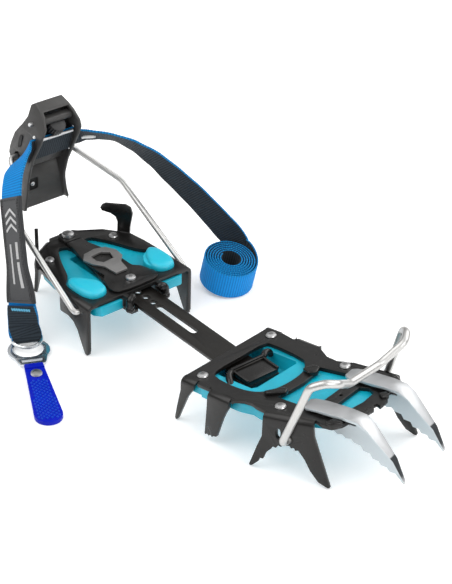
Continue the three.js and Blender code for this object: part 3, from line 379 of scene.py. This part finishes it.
def finishing_nodes(name, weld, smooth_angle):
    """A node group that welds seams, or shades smooth every edge flatter than an angle."""
    group = bpy.data.node_groups.new(name, "GeometryNodeTree")
    group.interface.new_socket("Geometry", in_out="INPUT", socket_type="NodeSocketGeometry")
    group.interface.new_socket("Geometry", in_out="OUTPUT", socket_type="NodeSocketGeometry")
    start, end = group.nodes.new("NodeGroupInput"), group.nodes.new("NodeGroupOutput")
    line = start.outputs[0]
    if weld:
        merge = group.nodes.new("GeometryNodeMergeByDistance")
        merge.inputs["Distance"].default_value = weld
        group.links.new(line, merge.inputs["Geometry"])
        line = merge.outputs[0]
    if smooth_angle:
        faces = group.nodes.new("GeometryNodeSetShadeSmooth")
        faces.domain = "FACE"
        faces.inputs["Shade Smooth"].default_value = True
        group.links.new(line, faces.inputs["Geometry"])
        angle = group.nodes.new("GeometryNodeInputMeshEdgeAngle")
        compare = group.nodes.new("FunctionNodeCompare")
        compare.data_type = "FLOAT"
        compare.operation = "LESS_THAN"
        compare.inputs["B"].default_value = smooth_angle
        edges = group.nodes.new("GeometryNodeSetShadeSmooth")
        edges.domain = "EDGE"
        group.links.new(angle.outputs["Unsigned Angle"], compare.inputs["A"])
        group.links.new(faces.outputs[0], edges.inputs["Geometry"])
        group.links.new(compare.outputs[0], edges.inputs["Shade Smooth"])
        line = edges.outputs[0]
    group.links.new(line, end.inputs[0])
    return group


WELD = finishing_nodes("weld_seams", 0.00001, None)
SHADE = finishing_nodes("shade_by_angle", None, SMOOTH_ANGLE)


def finish_node(name, obj):
    obj.material_slots[0].material = LOOKS[name]
    if "custom_normal" in obj.data.attributes:
        obj.data.attributes.remove(obj.data.attributes["custom_normal"])
    obj.modifiers.new("weld", "NODES").node_group = WELD
    if name in ROUND:
        bevel = obj.modifiers.new("edges", "BEVEL")
        bevel.width = ROUND[name] * MM
        bevel.segments = 2
        bevel.limit_method = "ANGLE"
        bevel.angle_limit = SMOOTH_ANGLE
        bevel.use_clamp_overlap = False
        bevel.miter_outer = "MITER_SHARP"
    obj.modifiers.new("shade", "NODES").node_group = SHADE


# ---- mesh building ----------------------------------------------------------------------
def piece(name, verts, faces, body, slot, looks, indices=None, uvs=None, bevel=0.0):
    """A mesh piece that rides on a body. verts are in drawing millimetres."""
    data = bpy.data.meshes.new(name)
    data.from_pydata([at(*v) for v in verts], [], faces)
    for look in looks if isinstance(looks, (list, tuple)) else [looks]:
        data.materials.append(look)
    if indices:
        data.polygons.foreach_set("material_index", indices)
    if uvs:
        layer = data.uv_layers.new(name="UVMap")
        for loop in data.loops:
            layer.data[loop.index].uv = uvs[loop.vertex_index]
    work = bmesh.new()
    work.from_mesh(data)
    bmesh.ops.recalc_face_normals(work, faces=work.faces)
    work.to_mesh(data)
    work.free()
    obj = bpy.data.objects.new(name, data)
    bpy.context.scene.collection.objects.link(obj)
    if bevel:
        edges = obj.modifiers.new("edges", "BEVEL")
        edges.width = bevel * MM
        edges.segments = 3
        edges.limit_method = "ANGLE"
        edges.angle_limit = math.radians(32)
    obj.modifiers.new("shade", "NODES").node_group = SHADE
    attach(obj, body)
    return obj


def merge(parts):
    """Several (verts, faces) as one."""
    verts, faces = [], []
    for v, f in parts:
        start = len(verts)
        verts += v
        faces += [tuple(i + start for i in face) for face in f]
    return verts, faces


def tube_faces(rings, sides):
    """Faces of a tube with closed ends, whose points run ring by ring."""
    faces = []
    for i in range(rings - 1):
        a, b = i * sides, (i + 1) * sides
        for j in range(sides):
            k = (j + 1) % sides
            faces.append((a + j, a + k, b + k, b + j))
    faces.append(tuple(range(sides - 1, -1, -1)))
    faces.append(tuple(range((rings - 1) * sides, rings * sides)))
    return faces


def curve_point(points, knots, s):
    """Catmull-Rom value at s, for four points and their knots."""
    level = list(points)
    for depth in (1, 2, 3):
        rising = []
        for i in range(len(level) - 1):
            low, high = (knots[i], knots[i + depth]) if depth < 3 else (knots[1], knots[2])
            rising.append(level[i] * ((high - s) / (high - low)) + level[i + 1] * ((s - low) / (high - low)))
        level = rising
    return level[0]


def smooth_path(points, step):
    """Dense points on a centripetal curve through points."""
    line = [Vector(p) for p in points]
    line = [line[0] * 2 - line[1], *line, line[-1] * 2 - line[-2]]
    out = []
    for i in range(1, len(line) - 2):
        four = line[i - 1:i + 3]
        knots = [0.0]
        for a, b in zip(four, four[1:]):
            knots.append(knots[-1] + max((b - a).length, 1e-6) ** 0.5)
        count = max(1, round((four[2] - four[1]).length / step))
        for k in range(count):
            out.append(curve_point(four, knots, knots[1] + (knots[2] - knots[1]) * k / count))
    out.append(line[-2])
    return out


def sample_route(route, step):
    """Even samples (centre, width direction, length so far) of a strap's route."""
    centres = smooth_path([c for c, _ in route], 0.5)
    anchors = [Vector(c) for c, _ in route]
    widths = [Vector(w).normalized() for _, w in route]
    lengths = [0.0]
    for a, b in zip(centres, centres[1:]):
        lengths.append(lengths[-1] + (b - a).length)
    marks, cursor = [], 0
    for anchor in anchors:
        best = min(range(cursor, len(centres)), key=lambda i: (centres[i] - anchor).length_squared + i * 1e-9)
        cursor = best if (centres[best] - anchor).length < 0.01 else cursor
        marks.append(lengths[cursor])
    count = max(2, round(lengths[-1] / step))
    out, j, m = [], 0, 0
    for i in range(count + 1):
        s = lengths[-1] * i / count
        while j < len(lengths) - 2 and lengths[j + 1] < s:
            j += 1
        share = (s - lengths[j]) / max(lengths[j + 1] - lengths[j], 1e-9)
        while m < len(marks) - 2 and marks[m + 1] < s:
            m += 1
        blend = min(1.0, max(0.0, (s - marks[m]) / max(marks[m + 1] - marks[m], 1e-9)))
        blend = blend * blend * (3 - 2 * blend)
        out.append((centres[j].lerp(centres[j + 1], share),
                    widths[m].lerp(widths[m + 1], blend).normalized(), s))
    return out


def strap_frames(samples):
    """(centre, width direction, face normal, length) at every sample."""
    out = []
    for i, (centre, width, s) in enumerate(samples):
        along = (samples[min(i + 1, len(samples) - 1)][0] - samples[max(i - 1, 0)][0]).normalized()
        side = (width - along * width.dot(along)).normalized()
        out.append((centre, side, along.cross(side), s))
    return out


def wire_tube(path, radius, sides):
    """(verts, faces) of a round wire along dense points."""
    normal = None
    verts = []
    for i, centre in enumerate(path):
        along = (path[min(i + 1, len(path) - 1)] - path[max(i - 1, 0)]).normalized()
        if normal is None:
            normal = along.orthogonal().normalized()
        normal = (normal - along * normal.dot(along)).normalized()
        other = along.cross(normal)
        for k in range(sides):
            a = k / sides * math.tau
            verts.append(centre + (normal * math.cos(a) + other * math.sin(a)) * radius)
    return verts, tube_faces(len(path), sides)


# ---- strap ------------------------------------------------------------------------------
STRAP_HALF = 10.0
STRAP_THICK = 1.6
STRAP_STEP = 0.44
LEAN = (0.36, 0, 0.933)
TAIL = [
    ((-95.8, -19.4, 103.6), LEAN), ((-88.8, -31, 104), (0.7, 0.3, 0.7)),
    ((-80, -42, 100.6), (0.86, 0.16, 0.5)), ((-71.6, -50, 90.4), (0.9, 0.12, 0.4)),
    ((-63.8, -54.4, 74.1), (0.92, 0.1, 0.36)), ((-53.7, -59.4, 52.7), (0.92, 0.1, 0.36)),
    ((-43.4, -64.1, 29.6), (0.8, 0.44, 0.3)), ((-40.9, -65.1, 15.4), (0.6, 0.74, 0.16)),
    ((-40.6, -65.5, 8.6), (0.46, 0.885, 0.04)),
]
RUN = [
    ((-96, -16, 103.5), LEAN), ((-96, 0, 103.5), LEAN), ((-96, 16, 103.5), LEAN),
    ((-95.8, 19.4, 103.6), (0.5, -0.2, 0.84)), ((-92, 24.8, 104.2), (0.58, -0.42, 0.7)),
    ((-85.5, 30.6, 104.6), (0.6, -0.5, 0.65)), ((-77.9, 38.9, 103.2), (0.62, -0.5, 0.62)),
    ((-69.4, 48.7, 97.6), (0.6, -0.36, 0.7)), ((-60.2, 59.2, 87.8), (0.6, -0.15, 0.75)),
    ((-51.3, 69.4, 74.8), (0.58, 0, 0.8)), ((-41.9, 80.2, 60.1), (0.57, 0.12, 0.8)),
    ((-30.9, 92.9, 40.6), (0.5, 0.18, 0.8)), ((-25.8, 99.6, 30), (0.4, 0.16, 0.85)),
]
COIL_CENTRE = Vector((-11.4, 85.4, 14.4))
COIL_TILT = math.radians(14)
COIL_OUTER = 19.0
COIL_PITCH = 1.78
COIL_TURNS = 6.8
COIL_START = math.radians(118)
COIL_STEPS = 28  # points a turn
LEAD_OUT = 1.9  # how far outside the coil the strap comes in
LEAD_UP = 4.6  # how far above it
COIL_THINNING = 0.3  # share of its thickness that the strap loses in the coil
THINNING_LENGTH = 14  # over which it loses it
FOLD_LIFT = 1.75  # the sewn-back layer's middle above the tail's
FOLD_RADIUS = 2.0  # the fold round the ring's bar
TAIL_U = 0.145  # metres of the label's U over the whole tail
TAB_DIR = Vector((0.9, -0.43, 0)).normalized()
TAB_SIDE = Vector((0.43, 0.9, 0)).normalized()
RING_CENTRE = Vector((-36.8, -65.9, 4.6))


def coil_route():
    """The webbing wound on itself, from the outside in, ending at the hole."""
    right = Vector((math.cos(COIL_TILT), 0, -math.sin(COIL_TILT)))
    axis = Vector((math.sin(COIL_TILT), 0, math.cos(COIL_TILT)))
    ahead = Vector((0, 1, 0))
    out = []
    for i in range(int(COIL_TURNS * COIL_STEPS) + 1):
        turned = i / COIL_STEPS * math.tau
        radius = COIL_OUTER - COIL_PITCH * turned / math.tau + LEAD_OUT * math.exp(-turned / 0.5)
        rise = LEAD_UP * math.exp(-((turned + 0.1) / 0.75) ** 2)
        a = COIL_START - turned
        centre = COIL_CENTRE + (right * math.cos(a) + ahead * math.sin(a)) * radius + axis * rise
        out.append((centre, axis))
    return out


def fold_route():
    """The sewn-back end: down outside the tail, round the ring's bar and back."""
    tail = strap_frames(sample_route(TAIL, 1.0))
    out = []
    for share in (0.86, 0.88, 0.9, 0.92, 0.94, 0.96):
        centre, side, normal, _ = tail[round(share * (len(tail) - 1))]
        out.append((centre + normal * FOLD_LIFT, side))
    # Both directions are (along TAB_DIR, upward): the fold leans back from the tab.
    up = Vector((-0.465, 0.885))
    off = Vector((0.885, 0.465))
    turn = []
    for reach, angle in ((2.2, 0), (0.6, 0), (0, 45), (0, 90), (0, 135), (0.6, 180)):
        a = math.radians(angle)
        flat = off * math.cos(a) * FOLD_RADIUS - up * math.sin(a) * FOLD_RADIUS + up * reach
        turn.append((RING_CENTRE + TAB_DIR * flat.x + Vector((0, 0, flat.y)), TAB_SIDE))
    return out + turn


def make_strap():
    """The whole webbing in one length: fold, tail, run through the lever, and coil."""
    route = fold_route() + TAIL[::-1] + RUN + coil_route()
    frames = strap_frames(sample_route(route, STRAP_STEP))
    wound = strap_frames(sample_route(coil_route(), STRAP_STEP))[-1][3]
    coil_from = frames[-1][3] - wound
    section = [(-0.97, -1), (-0.5, -1), (0, -1), (0.5, -1), (0.97, -1), (1, -0.55), (1, 0.55), (0.97, 1),
               (0.5, 1), (0, 1), (-0.5, 1), (-0.97, 1), (-1, 0.55), (-1, -0.55)]
    verts, uvs = [], []
    for centre, side, normal, s in frames:
        rib = 0.5 + 0.5 * math.cos(s / (RIB / MM) * math.tau)
        for across, up in section:
            ribbed = abs(up) == 1
            thick = STRAP_THICK / 2 * (0.86 + 0.14 * rib if ribbed else 0.9)
            thick *= 1 - COIL_THINNING * min(1.0, max(0.0, (s - coil_from) / THINNING_LENGTH))
            verts.append(centre + side * across * STRAP_HALF + normal * up * thick)
            uvs.append((s * MM, across * STRAP_HALF * MM))
    sides = len(section)
    faces = tube_faces(len(frames), sides)
    indices = []
    for face in faces:
        j = face[0] % sides if len(face) == 4 else 0
        indices.append(2 if len(face) != 4 or j in (4, 5, 6, 11, 12, 13) else (0 if j < 4 else 1))
    strap = piece("strap_webbing", verts, faces, "lever", "webbing", [BLUE, DARK, EDGE], indices, uvs)
    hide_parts("strap_middle", "strap_run", "strap_tail", "strap_coil")
    return strap, frames[-1][3] * MM


def on_tail(share, across, lift, tail):
    centre, side, normal, _ = tail[round(share * (len(tail) - 1))]
    return centre + side * across + normal * lift


def make_label():
    """Label patch with its border stitches, plain woven mark and the bar tack under it."""
    tail = strap_frames(sample_route([((-96, -16, 103.5), LEAN)] + TAIL, 0.25))
    first, last = 0.35, 0.85
    steps = 60
    half = 10.4
    section = [(-1.01, -1.5), (-0.985, -1.5), (-0.98, 0), (0, 0), (0.98, 0), (0.985, -1.5), (1.01, -1.5),
               (1.025, 0.5), (0.975, 1), (0.5, 1), (0, 1), (-0.5, 1), (-0.975, 1), (-1.025, 0.5)]
    verts, uvs = [], []
    for i in range(steps + 1):
        t = i / steps
        share = first + (last - first) * t
        for across, up in section:
            verts.append(on_tail(share, across * half, 0.95 + up * 0.9, tail))
            uvs.append((share * TAIL_U, across * half * MM))
    faces = tube_faces(steps + 1, len(section))
    label = piece("strap_label", verts, faces, "lever", "label", LABEL, None, uvs)
    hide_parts("label_patch")
    stitches = []

    def stitch(share_a, across_a, share_b, across_b, radius=0.26, lift=1.95):
        a = on_tail(share_a, across_a, lift, tail)
        b = on_tail(share_b, across_b, lift, tail)
        middle = (a + b) / 2 + (on_tail(share_a, across_a, lift + 1, tail) - a) * 0.12
        stitches.append(wire_tube([a, middle, b], radius, 6))

    count = 38
    for i in range(count):
        low = first + 0.012 + (last - first - 0.024) * i / count
        high = low + (last - first - 0.024) / count * 0.62
        for across in (-8.7, 8.7, -7.6, 7.6):
            stitch(low, across, high, across)
    for i in range(9):
        across = -7.9 + i * 1.8
        for share in (first + 0.012, last - 0.012):
            stitch(share, across, share, across + 1.2)
    border = piece("label_stitches", *merge(stitches), "lever", "label", LABEL_THREAD)
    stitches.clear()
    for row in range(3):
        top = 0.40 + row * 0.036
        for k in range(7):
            shift = k * 0.0016
            stitch(top + 0.032 + shift, -5.4, top + shift, 0, 0.24, 1.98)
            stitch(top + shift, 0, top + 0.032 + shift, 5.4, 0.24, 1.98)
    bars = ((0.56, 0.64, 2.6, 5), (0.655, 0.78, 2.6, 5), (0.57, 0.76, -3.4, 3))
    for first_bar, last_bar, across, rows in bars:
        for k in range(rows):
            for low in range(8):
                a = first_bar + (last_bar - first_bar) * low / 8
                b = first_bar + (last_bar - first_bar) * (low + 1) / 8
                stitch(a, across + k * 0.48, b, across + k * 0.48, 0.24, 1.96)
    mark = piece("label_mark", *merge(stitches), "lever", "label", PRINT_THREAD)
    stitches.clear()
    for k in range(11):
        across = -6.6 + k * 1.2
        stitch(0.874, across, 0.887, across + 0.6, 0.22, 2.85)
        stitch(0.887, across + 0.6, 0.874, across + 1.2, 0.22, 2.85)
    tack = piece("bar_tack", *merge(stitches), "lever", "webbing", TACK_THREAD)
    return [label, border, mark, tack]


# ---- small parts shaped on the CAD -------------------------------------------------------
FRONT = (Matrix.Translation((FRONT_X, FRONT_Y, FRONT_Z)) @ Matrix.Rotation(FRONT_YAW, 4, "Z")
         @ Matrix.Rotation(FRONT_PITCH, 4, "Y"))
BAR_FRAME = Matrix.Translation((0, 0, 32.75)) @ Matrix.Rotation(math.radians(1.75), 4, "Y")
HEEL_TOP = 37.25
AXLE = Vector((-114, 0, 92))
DISC_SIDES = 16
# (height, share of the outline) up a heel pad, from its foot to the middle of its crown.
PAD_LAYERS = ((-1.4, 0.98), (1.2, 1.0), (2.6, 0.98), (3.5, 0.93), (4.1, 0.84), (4.5, 0.68),
              (4.65, 0.45), (4.5, 0.2))


def on_front(x, y, up):
    """Along and across the front plate, and up from its top face."""
    return FRONT @ Vector((x, y, up))


def on_bar(x, y, up):
    return BAR_FRAME @ Vector((x, y, up))


def on_heel(x, y, up):
    return Vector((x, y, HEEL_TOP + up))


def slab(outline, low, high, place):
    """A flat piece: an outline given thickness from low to high."""
    n = len(outline)
    verts = [Vector(place(a, b, h)) for h in (low, high) for a, b in outline]
    faces = [tuple(range(n - 1, -1, -1)), tuple(range(n, 2 * n))]
    faces += [(i, (i + 1) % n, n + (i + 1) % n, n + i) for i in range(n)]
    return verts, faces


def stacked(outline, layers, place):
    """A rounded pad: the outline shrunk towards its middle at each (height, share) layer."""
    n = len(outline)
    mid_a = sum(a for a, _ in outline) / n
    mid_b = sum(b for _, b in outline) / n
    verts = []
    for height, share in layers:
        for a, b in outline:
            verts.append(Vector(place(mid_a + (a - mid_a) * share, mid_b + (b - mid_b) * share, height)))
    faces = [tuple(range(n - 1, -1, -1)), tuple(range((len(layers) - 1) * n, len(layers) * n))]
    for r in range(len(layers) - 1):
        low, high = r * n, (r + 1) * n
        for i in range(n):
            k = (i + 1) % n
            faces.append((low + i, low + k, high + k, high + i))
    return verts, faces


def smooth_outline(points, step=0.8):
    """A closed outline rounded through its points."""
    ring = [Vector((a, b, 0)) for a, b in points]
    dense = smooth_path([ring[-2], ring[-1], *ring, ring[0], ring[1]], step)
    first = min(range(len(dense)), key=lambda i: (dense[i] - ring[0]).length)
    last = max(i for i in range(len(dense)) if (dense[i] - ring[0]).length < step * 0.75)
    return [(p.x, p.y) for p in dense[first:last]]


def disc(radius, across, along):
    """A round outline about its middle."""
    turns = [i / DISC_SIDES * math.tau for i in range(DISC_SIDES)]
    return [(along + radius * math.cos(a), across + radius * math.sin(a)) for a in turns]


def rounded_corners(points, r):
    """Extra points beside each corner, so that a wire through them bends tightly there."""
    line = [Vector(p) for p in points]
    out = [line[0]]
    for before, corner, after in zip(line, line[1:], line[2:]):
        into = (before - corner).normalized() * r
        away = (after - corner).normalized() * r
        out += [corner + into * 1.7, corner + into, corner + into * 0.27 + away * 0.27, corner + away,
                corner + away * 1.7]
    return out + [line[-1]]


def make_bails():
    def front_point(x, y, z):
        flat = Matrix.Rotation(FRONT_YAW, 4, "Z") @ Vector((x, y, 0))
        return Vector((flat.x + FRONT_X, flat.y + FRONT_Y, z))

    near, far = front_point(82.7, -37.2, 26.3), front_point(86.6, 42.1, 26.3)
    axis = (far - near).normalized()
    top = [(101.3, 42.9, 75), (108, 37.5, 78.4), (112, 30.5, 76.6), (107, 14, 66.5)]
    corners = [near + axis * 6, near - axis * 5, *(front_point(x, -y, z) for x, y, z in top),
               *(front_point(x, y, z) for x, y, z in reversed(top)), far + axis * 5, far - axis * 6]
    toe = piece("toe_bail_wire", *domed_wire(smooth_path(rounded_corners(corners, 3), 0.7), 2.5),
                "toe_wire", "wire_steel", WIRE)
    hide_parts("toe_bail")

    def side(s):
        return [(-10, s * 38.6, 30), (-10, s * 46, 30), (-78.7, s * 44.4, 69), (-104, s * 26, 87.4),
                (AXLE.x, s * 21.6, AXLE.z)]

    corners = side(-1) + side(1)[::-1]
    heel = piece("heel_bail_wire", *domed_wire(smooth_path(rounded_corners(corners, 3), 0.7), 2.0),
                 "heel_wire", "wire_steel", WIRE)
    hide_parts("heel_bail")


def domed_wire(path, radius, sides=16):
    """A round wire whose two ends are softly rounded over."""
    verts, _ = wire_tube(path, radius, sides)
    rings = len(path)
    for ring, share in ((0, 0.6), (1, 0.9), (rings - 2, 0.9), (rings - 1, 0.6)):
        for k in range(sides):
            i = ring * sides + k
            verts[i] = path[ring] + (verts[i] - path[ring]) * share
    return verts, tube_faces(rings, sides)


def make_front_details():
    lugs = [
        slab([(53.6, 9.6), (60.2, 7.6), (63.4, 12.4), (60.6, 17.6), (55.6, 17)], -1.5, 2.4, on_front),
        slab([(52.4, -24.6), (55.6, -26), (64, -17.6), (62.6, -13.6), (58.4, -14.6)], -1.5, 2.2, on_front),
        slab([(103.6, -29.6), (108.2, -29.4), (112.4, -23.4), (109.6, -19.6), (104.8, -22.6)], -1.5, 1.9,
             on_front),
        slab([(107.6, 15.4), (112.2, 12.6), (114.2, 17.6), (110, 20.4)], -1.5, 1.9, on_front),
        slab([(103.6, 30.6), (109.2, 28.6), (108.4, 35.4), (103.6, 38.2)], -1.5, 2.2, on_front),
    ]
    piece("front_lugs", *merge(lugs), "front", "plate_steel", HOOK, bevel=0.9)
    sill = [
        slab([(1.2, -12.8), (2.6, -12.8), (2.6, 12.8), (1.2, 12.8)], -13, -6.4, on_front),
        slab([(1.2, -12.8), (6.6, -12.8), (6.6, 12.8), (1.2, 12.8)], -14.2, -12.6, on_front),
    ]
    piece("pocket_sill", *merge(sill), "front", "antiball", BALL_FRONT, bevel=0.3)
    yokes = [
        slab([(79.2, 19.2), (83, 18.6), (84.2, 26.2), (80.2, 27.4)], -0.5, 2.5, on_front),
        slab([(81.6, -22.8), (85.4, -23.6), (86.6, -15.4), (82.8, -14.8)], -0.5, 2.5, on_front),
    ]
    piece("point_yokes", *merge(yokes), "front", "rivet_steel", RIVET, bevel=0.8)
    dimples = [slab(disc(1.5, y, x), 1.2, 1.62, on_front) for x, y in
               ((8.8, -31.5), (8.8, 31.5), (70.3, -30), (70.3, 30))]
    piece("front_rivet_dimples", *merge(dimples), "front", "rivet_steel", DIMPLE, bevel=0.2)


def make_bar_head():
    """Dark upturned hook on the bar's head, with an arm at each side."""
    walls = [
        slab([(106.4, -12.6), (121.8, -12.6), (121.8, 12.6), (106.4, 12.6)], -0.3, 3.4, on_bar),
        slab([(105.8, -13), (107.6, -13), (107.6, 13), (105.8, 13)], 2.2, 5.2, on_bar),
        slab([(106.4, -13), (121.8, -13), (121.8, -11.4), (106.4, -11.4)], 2.2, 4.6, on_bar),
        slab([(106.4, 11.4), (121.8, 11.4), (121.8, 13), (106.4, 13)], 2.2, 4.6, on_bar),
    ]
    right_arm = ((107, -13, 3.2), (110, -17.4, 3.6), (115, -20.6, 2.6), (119, -22.8, 0.2), (121, -23.4, -2.4))
    left_arm = ((107, 13, 3.2), (104.6, 17, 3.8), (104, 20.4, 2.4), (105, 22, -0.6))
    for path, radius in ((right_arm, 2.3), (left_arm, 2.2)):
        walls.append(domed_wire(smooth_path([on_bar(*p) for p in path], 0.8), radius, 14))
    piece("bar_hook", *merge(walls), "bar", "bar_steel", HOOK, bevel=0.45)


def make_heel_details():
    lobe = [(-33.5, 33), (-30, 36.6), (-21, 37.4), (-12, 36.4), (-6.6, 33.2), (-5.6, 26.4), (-8.4, 21.4),
            (-14.6, 19.8), (-21.6, 22.2), (-29, 26.6)]
    pads = []
    for half in (1, -1):
        outline = smooth_outline([(x, y * half) for x, y in lobe])
        pads.append(stacked(outline, PAD_LAYERS, on_heel))
    piece("heel_pads", *merge(pads), "heel", "antiball", BALL_PAD)
    ears = []
    for half in (1, -1):
        roll = [(6.2, 9.6, -0.6), (6.8, 12.2, -0.2), (7.4, 14.2, -1.6), (7.8, 14.6, -4.6), (7.8, 14.6, -8.4)]
        ears.append(domed_wire(smooth_path([on_heel(x, half * y, up) for x, y, up in roll], 0.8), 2.6, 18))
        knob = [on_heel(7.8, half * 14.6, up) for up in (-5.6, -6.4, -7.6, -8.8, -9.6)]
        ears.append(domed_wire(knob, 3.2, 18))
    piece("guide_ears", *merge(ears), "heel", "plate_steel", HOOK)
    dimples = [slab(disc(1.3, y, x), 1.2, 1.62, on_heel) for x, y in ((-64.5, -26.5), (-64.5, 26.5))]
    dimples.append(slab(disc(1.9, 0.5, -81), 4.1, 4.62, on_heel))
    piece("heel_rivet_dimples", *merge(dimples), "heel", "rivet_steel", DIMPLE, bevel=0.2)
    peg = slab(disc(1.5, 0, -10.5), 3.3, 3.75, on_heel)
    piece("peg_dimple", *peg, "lock", "rivet_steel", DIMPLE, bevel=0.2)


def make_lever_details():
    def in_lever(x, z, y):
        return Vector((x, y, z))

    bar = [(-93.6, 123.4), (-88.8, 122.6), (-87.6, 124.6), (-88.6, 127), (-92.6, 127.8), (-94.6, 125.8)]
    step = [(-105.4, 97.9), (-107.4, 86.2), (-106.4, 85.2), (-105, 87), (-103.2, 96.4), (-104.4, 98.6)]
    pieces = [slab(bar, -11.6, 11.6, in_lever), slab(step, -14.4, 14.4, in_lever)]
    piece("lever_ribs", *merge(pieces), "lever", "lever_plastic", LEVER, bevel=0.8)
    # Near-black sheets in the lever's slot and window: painted shade in the openings.
    slots = [slab(smooth_outline([(-110.4, 100.6), (-108.2, 101.4), (-106, 107), (-105.2, 110.6), (-107, 111),
                                  (-109.4, 106.4)], 1.0), -17.5, -17.05, in_lever)]
    window = [(-112.4, 65.4), (-109.4, 65.4), (-109.4, 74.6), (-112.4, 74.6)]
    slots.append(slab(window, -12.4, -3.6, in_lever))
    piece("lever_hollow_shade", *merge(slots), "lever", "lever_plastic", HOLLOW_SHADE)
    studs = []
    for x, z, radius in ((-96.9, 122, 1.5), (-92.1, 114.7, 1.3)):
        path = [Vector((x, y, z)) for y in (-12, -14, -16, -17, -17.4)]
        studs.append(domed_wire(path, radius, 14))
    path = [Vector((x, -8.2, 70.4)) for x in (-111.4, -110, -108.8, -108.4, -108.2)]
    studs.append(domed_wire(path, 1.7, 14))
    piece("lever_studs", *merge(studs), "lever", "rivet_steel", RIVET)


def make_tab_details():
    """Raised diamonds and a collar on the pull tab."""
    origin = Vector((-28.6, -70.1, 0)) + TAB_DIR * 17.8

    def on_tab(u, v, up):
        return origin + TAB_DIR * u + TAB_SIDE * v + Vector((0, 0, up))

    bumps = []
    for row in range(24):
        u = 20 + row * 1.8
        half = min(5.4 + 3.0 * u / 57, math.sqrt(max(0.0, 8.4 ** 2 - max(0.0, u - 57) ** 2)))
        for k in range(-3, 4):
            v = k * 3.2 + (1.6 if row % 2 else 0)
            if abs(v) < half - 1.1:
                bumps.append(stacked([(u - 1.5, v), (u, v - 1.1), (u + 1.5, v), (u, v + 1.1)],
                                     ((2.6, 1.0), (3.1, 0.85), (3.4, 0.5)), on_tab))
    # The raised diamonds carry the painted highlight colour.
    piece("tab_relief", *merge(bumps), "tab", "tab_rubber", TAB_CREST_HIGHLIGHT)
    rim = [(0.5, -6.1), (5.4, -6.4), (5.4, 6.4), (0.5, 6.1)]
    piece("tab_collar", *stacked(rim, ((0.3, 1.0), (3.2, 1.0), (3.6, 0.9)), on_tab), "tab", "tab_rubber", TAB)


def make_strap_patch():
    """Small plain white patch on the strap beside the lever."""
    run = strap_frames(sample_route(RUN, 0.5))
    spots = [f for f in run if f[0].x > -94 and f[0].y > 22 and f[0].x < -86.5 and f[0].y < 31]
    verts = []
    for i, (centre, side, normal, _) in enumerate(spots):
        share = abs(2 * i / (len(spots) - 1) - 1)
        half = 2.3 * math.sqrt(max(0.12, 1 - share ** 2.4))
        middle = centre - side * (2.4 - 1.6 * i / len(spots))
        verts += [middle + side * across * half + normal * up for across, up in
                  ((-1, 0.7), (1, 0.7), (0.9, 1.5), (0, 1.75), (-0.9, 1.5))]
    piece("strap_white_patch", verts, tube_faces(len(spots), 5), "lever", "webbing", WHITE_PATCH)


# ---- the scene ----------------------------------------------------------------------------
def make_floor():
    verts = [(-3, -3, -0.0002), (3, -3, -0.0002), (3, 3, -0.0002), (-3, 3, -0.0002)]
    data = bpy.data.meshes.new("floor")
    data.from_pydata(verts, [], [(0, 1, 2, 3)])
    look = Look("floor_paper")
    look.colour(look.mix(look.noise(3, 2), (0.86, 0.86, 0.86), (0.9, 0.9, 0.9)))
    look.shader.inputs["Roughness"].default_value = 0.9
    look.shader.inputs["Emission Color"].default_value = (1, 1, 1, 1)
    look.shader.inputs["Emission Strength"].default_value = 0.3
    data.materials.append(look.material)
    floor = bpy.data.objects.new("floor", data)
    bpy.context.scene.collection.objects.link(floor)


bpy.context.scene.view_settings.view_transform = "Standard"
make_camera()
make_world()
make_floor()
area_light("key", (-0.5, -0.9, 1.5), (0, 0, 0), (1.8, 1.8), 18)
area_light("back", (0.2, 1.2, 1.1), (0, 0, 0.03), (1.8, 1.2), 13)
area_light("side", (1.3, 0.1, 0.8), (0, 0, 0.03), (0.7, 1.0), 7)

strap, strap_length = make_strap()
label_pieces = make_label()
make_bails()
make_front_details()
make_bar_head()
make_heel_details()
make_lever_details()
make_tab_details()
make_strap_patch()
for node_name, node in NODES.items():
    finish_node(node_name, node)
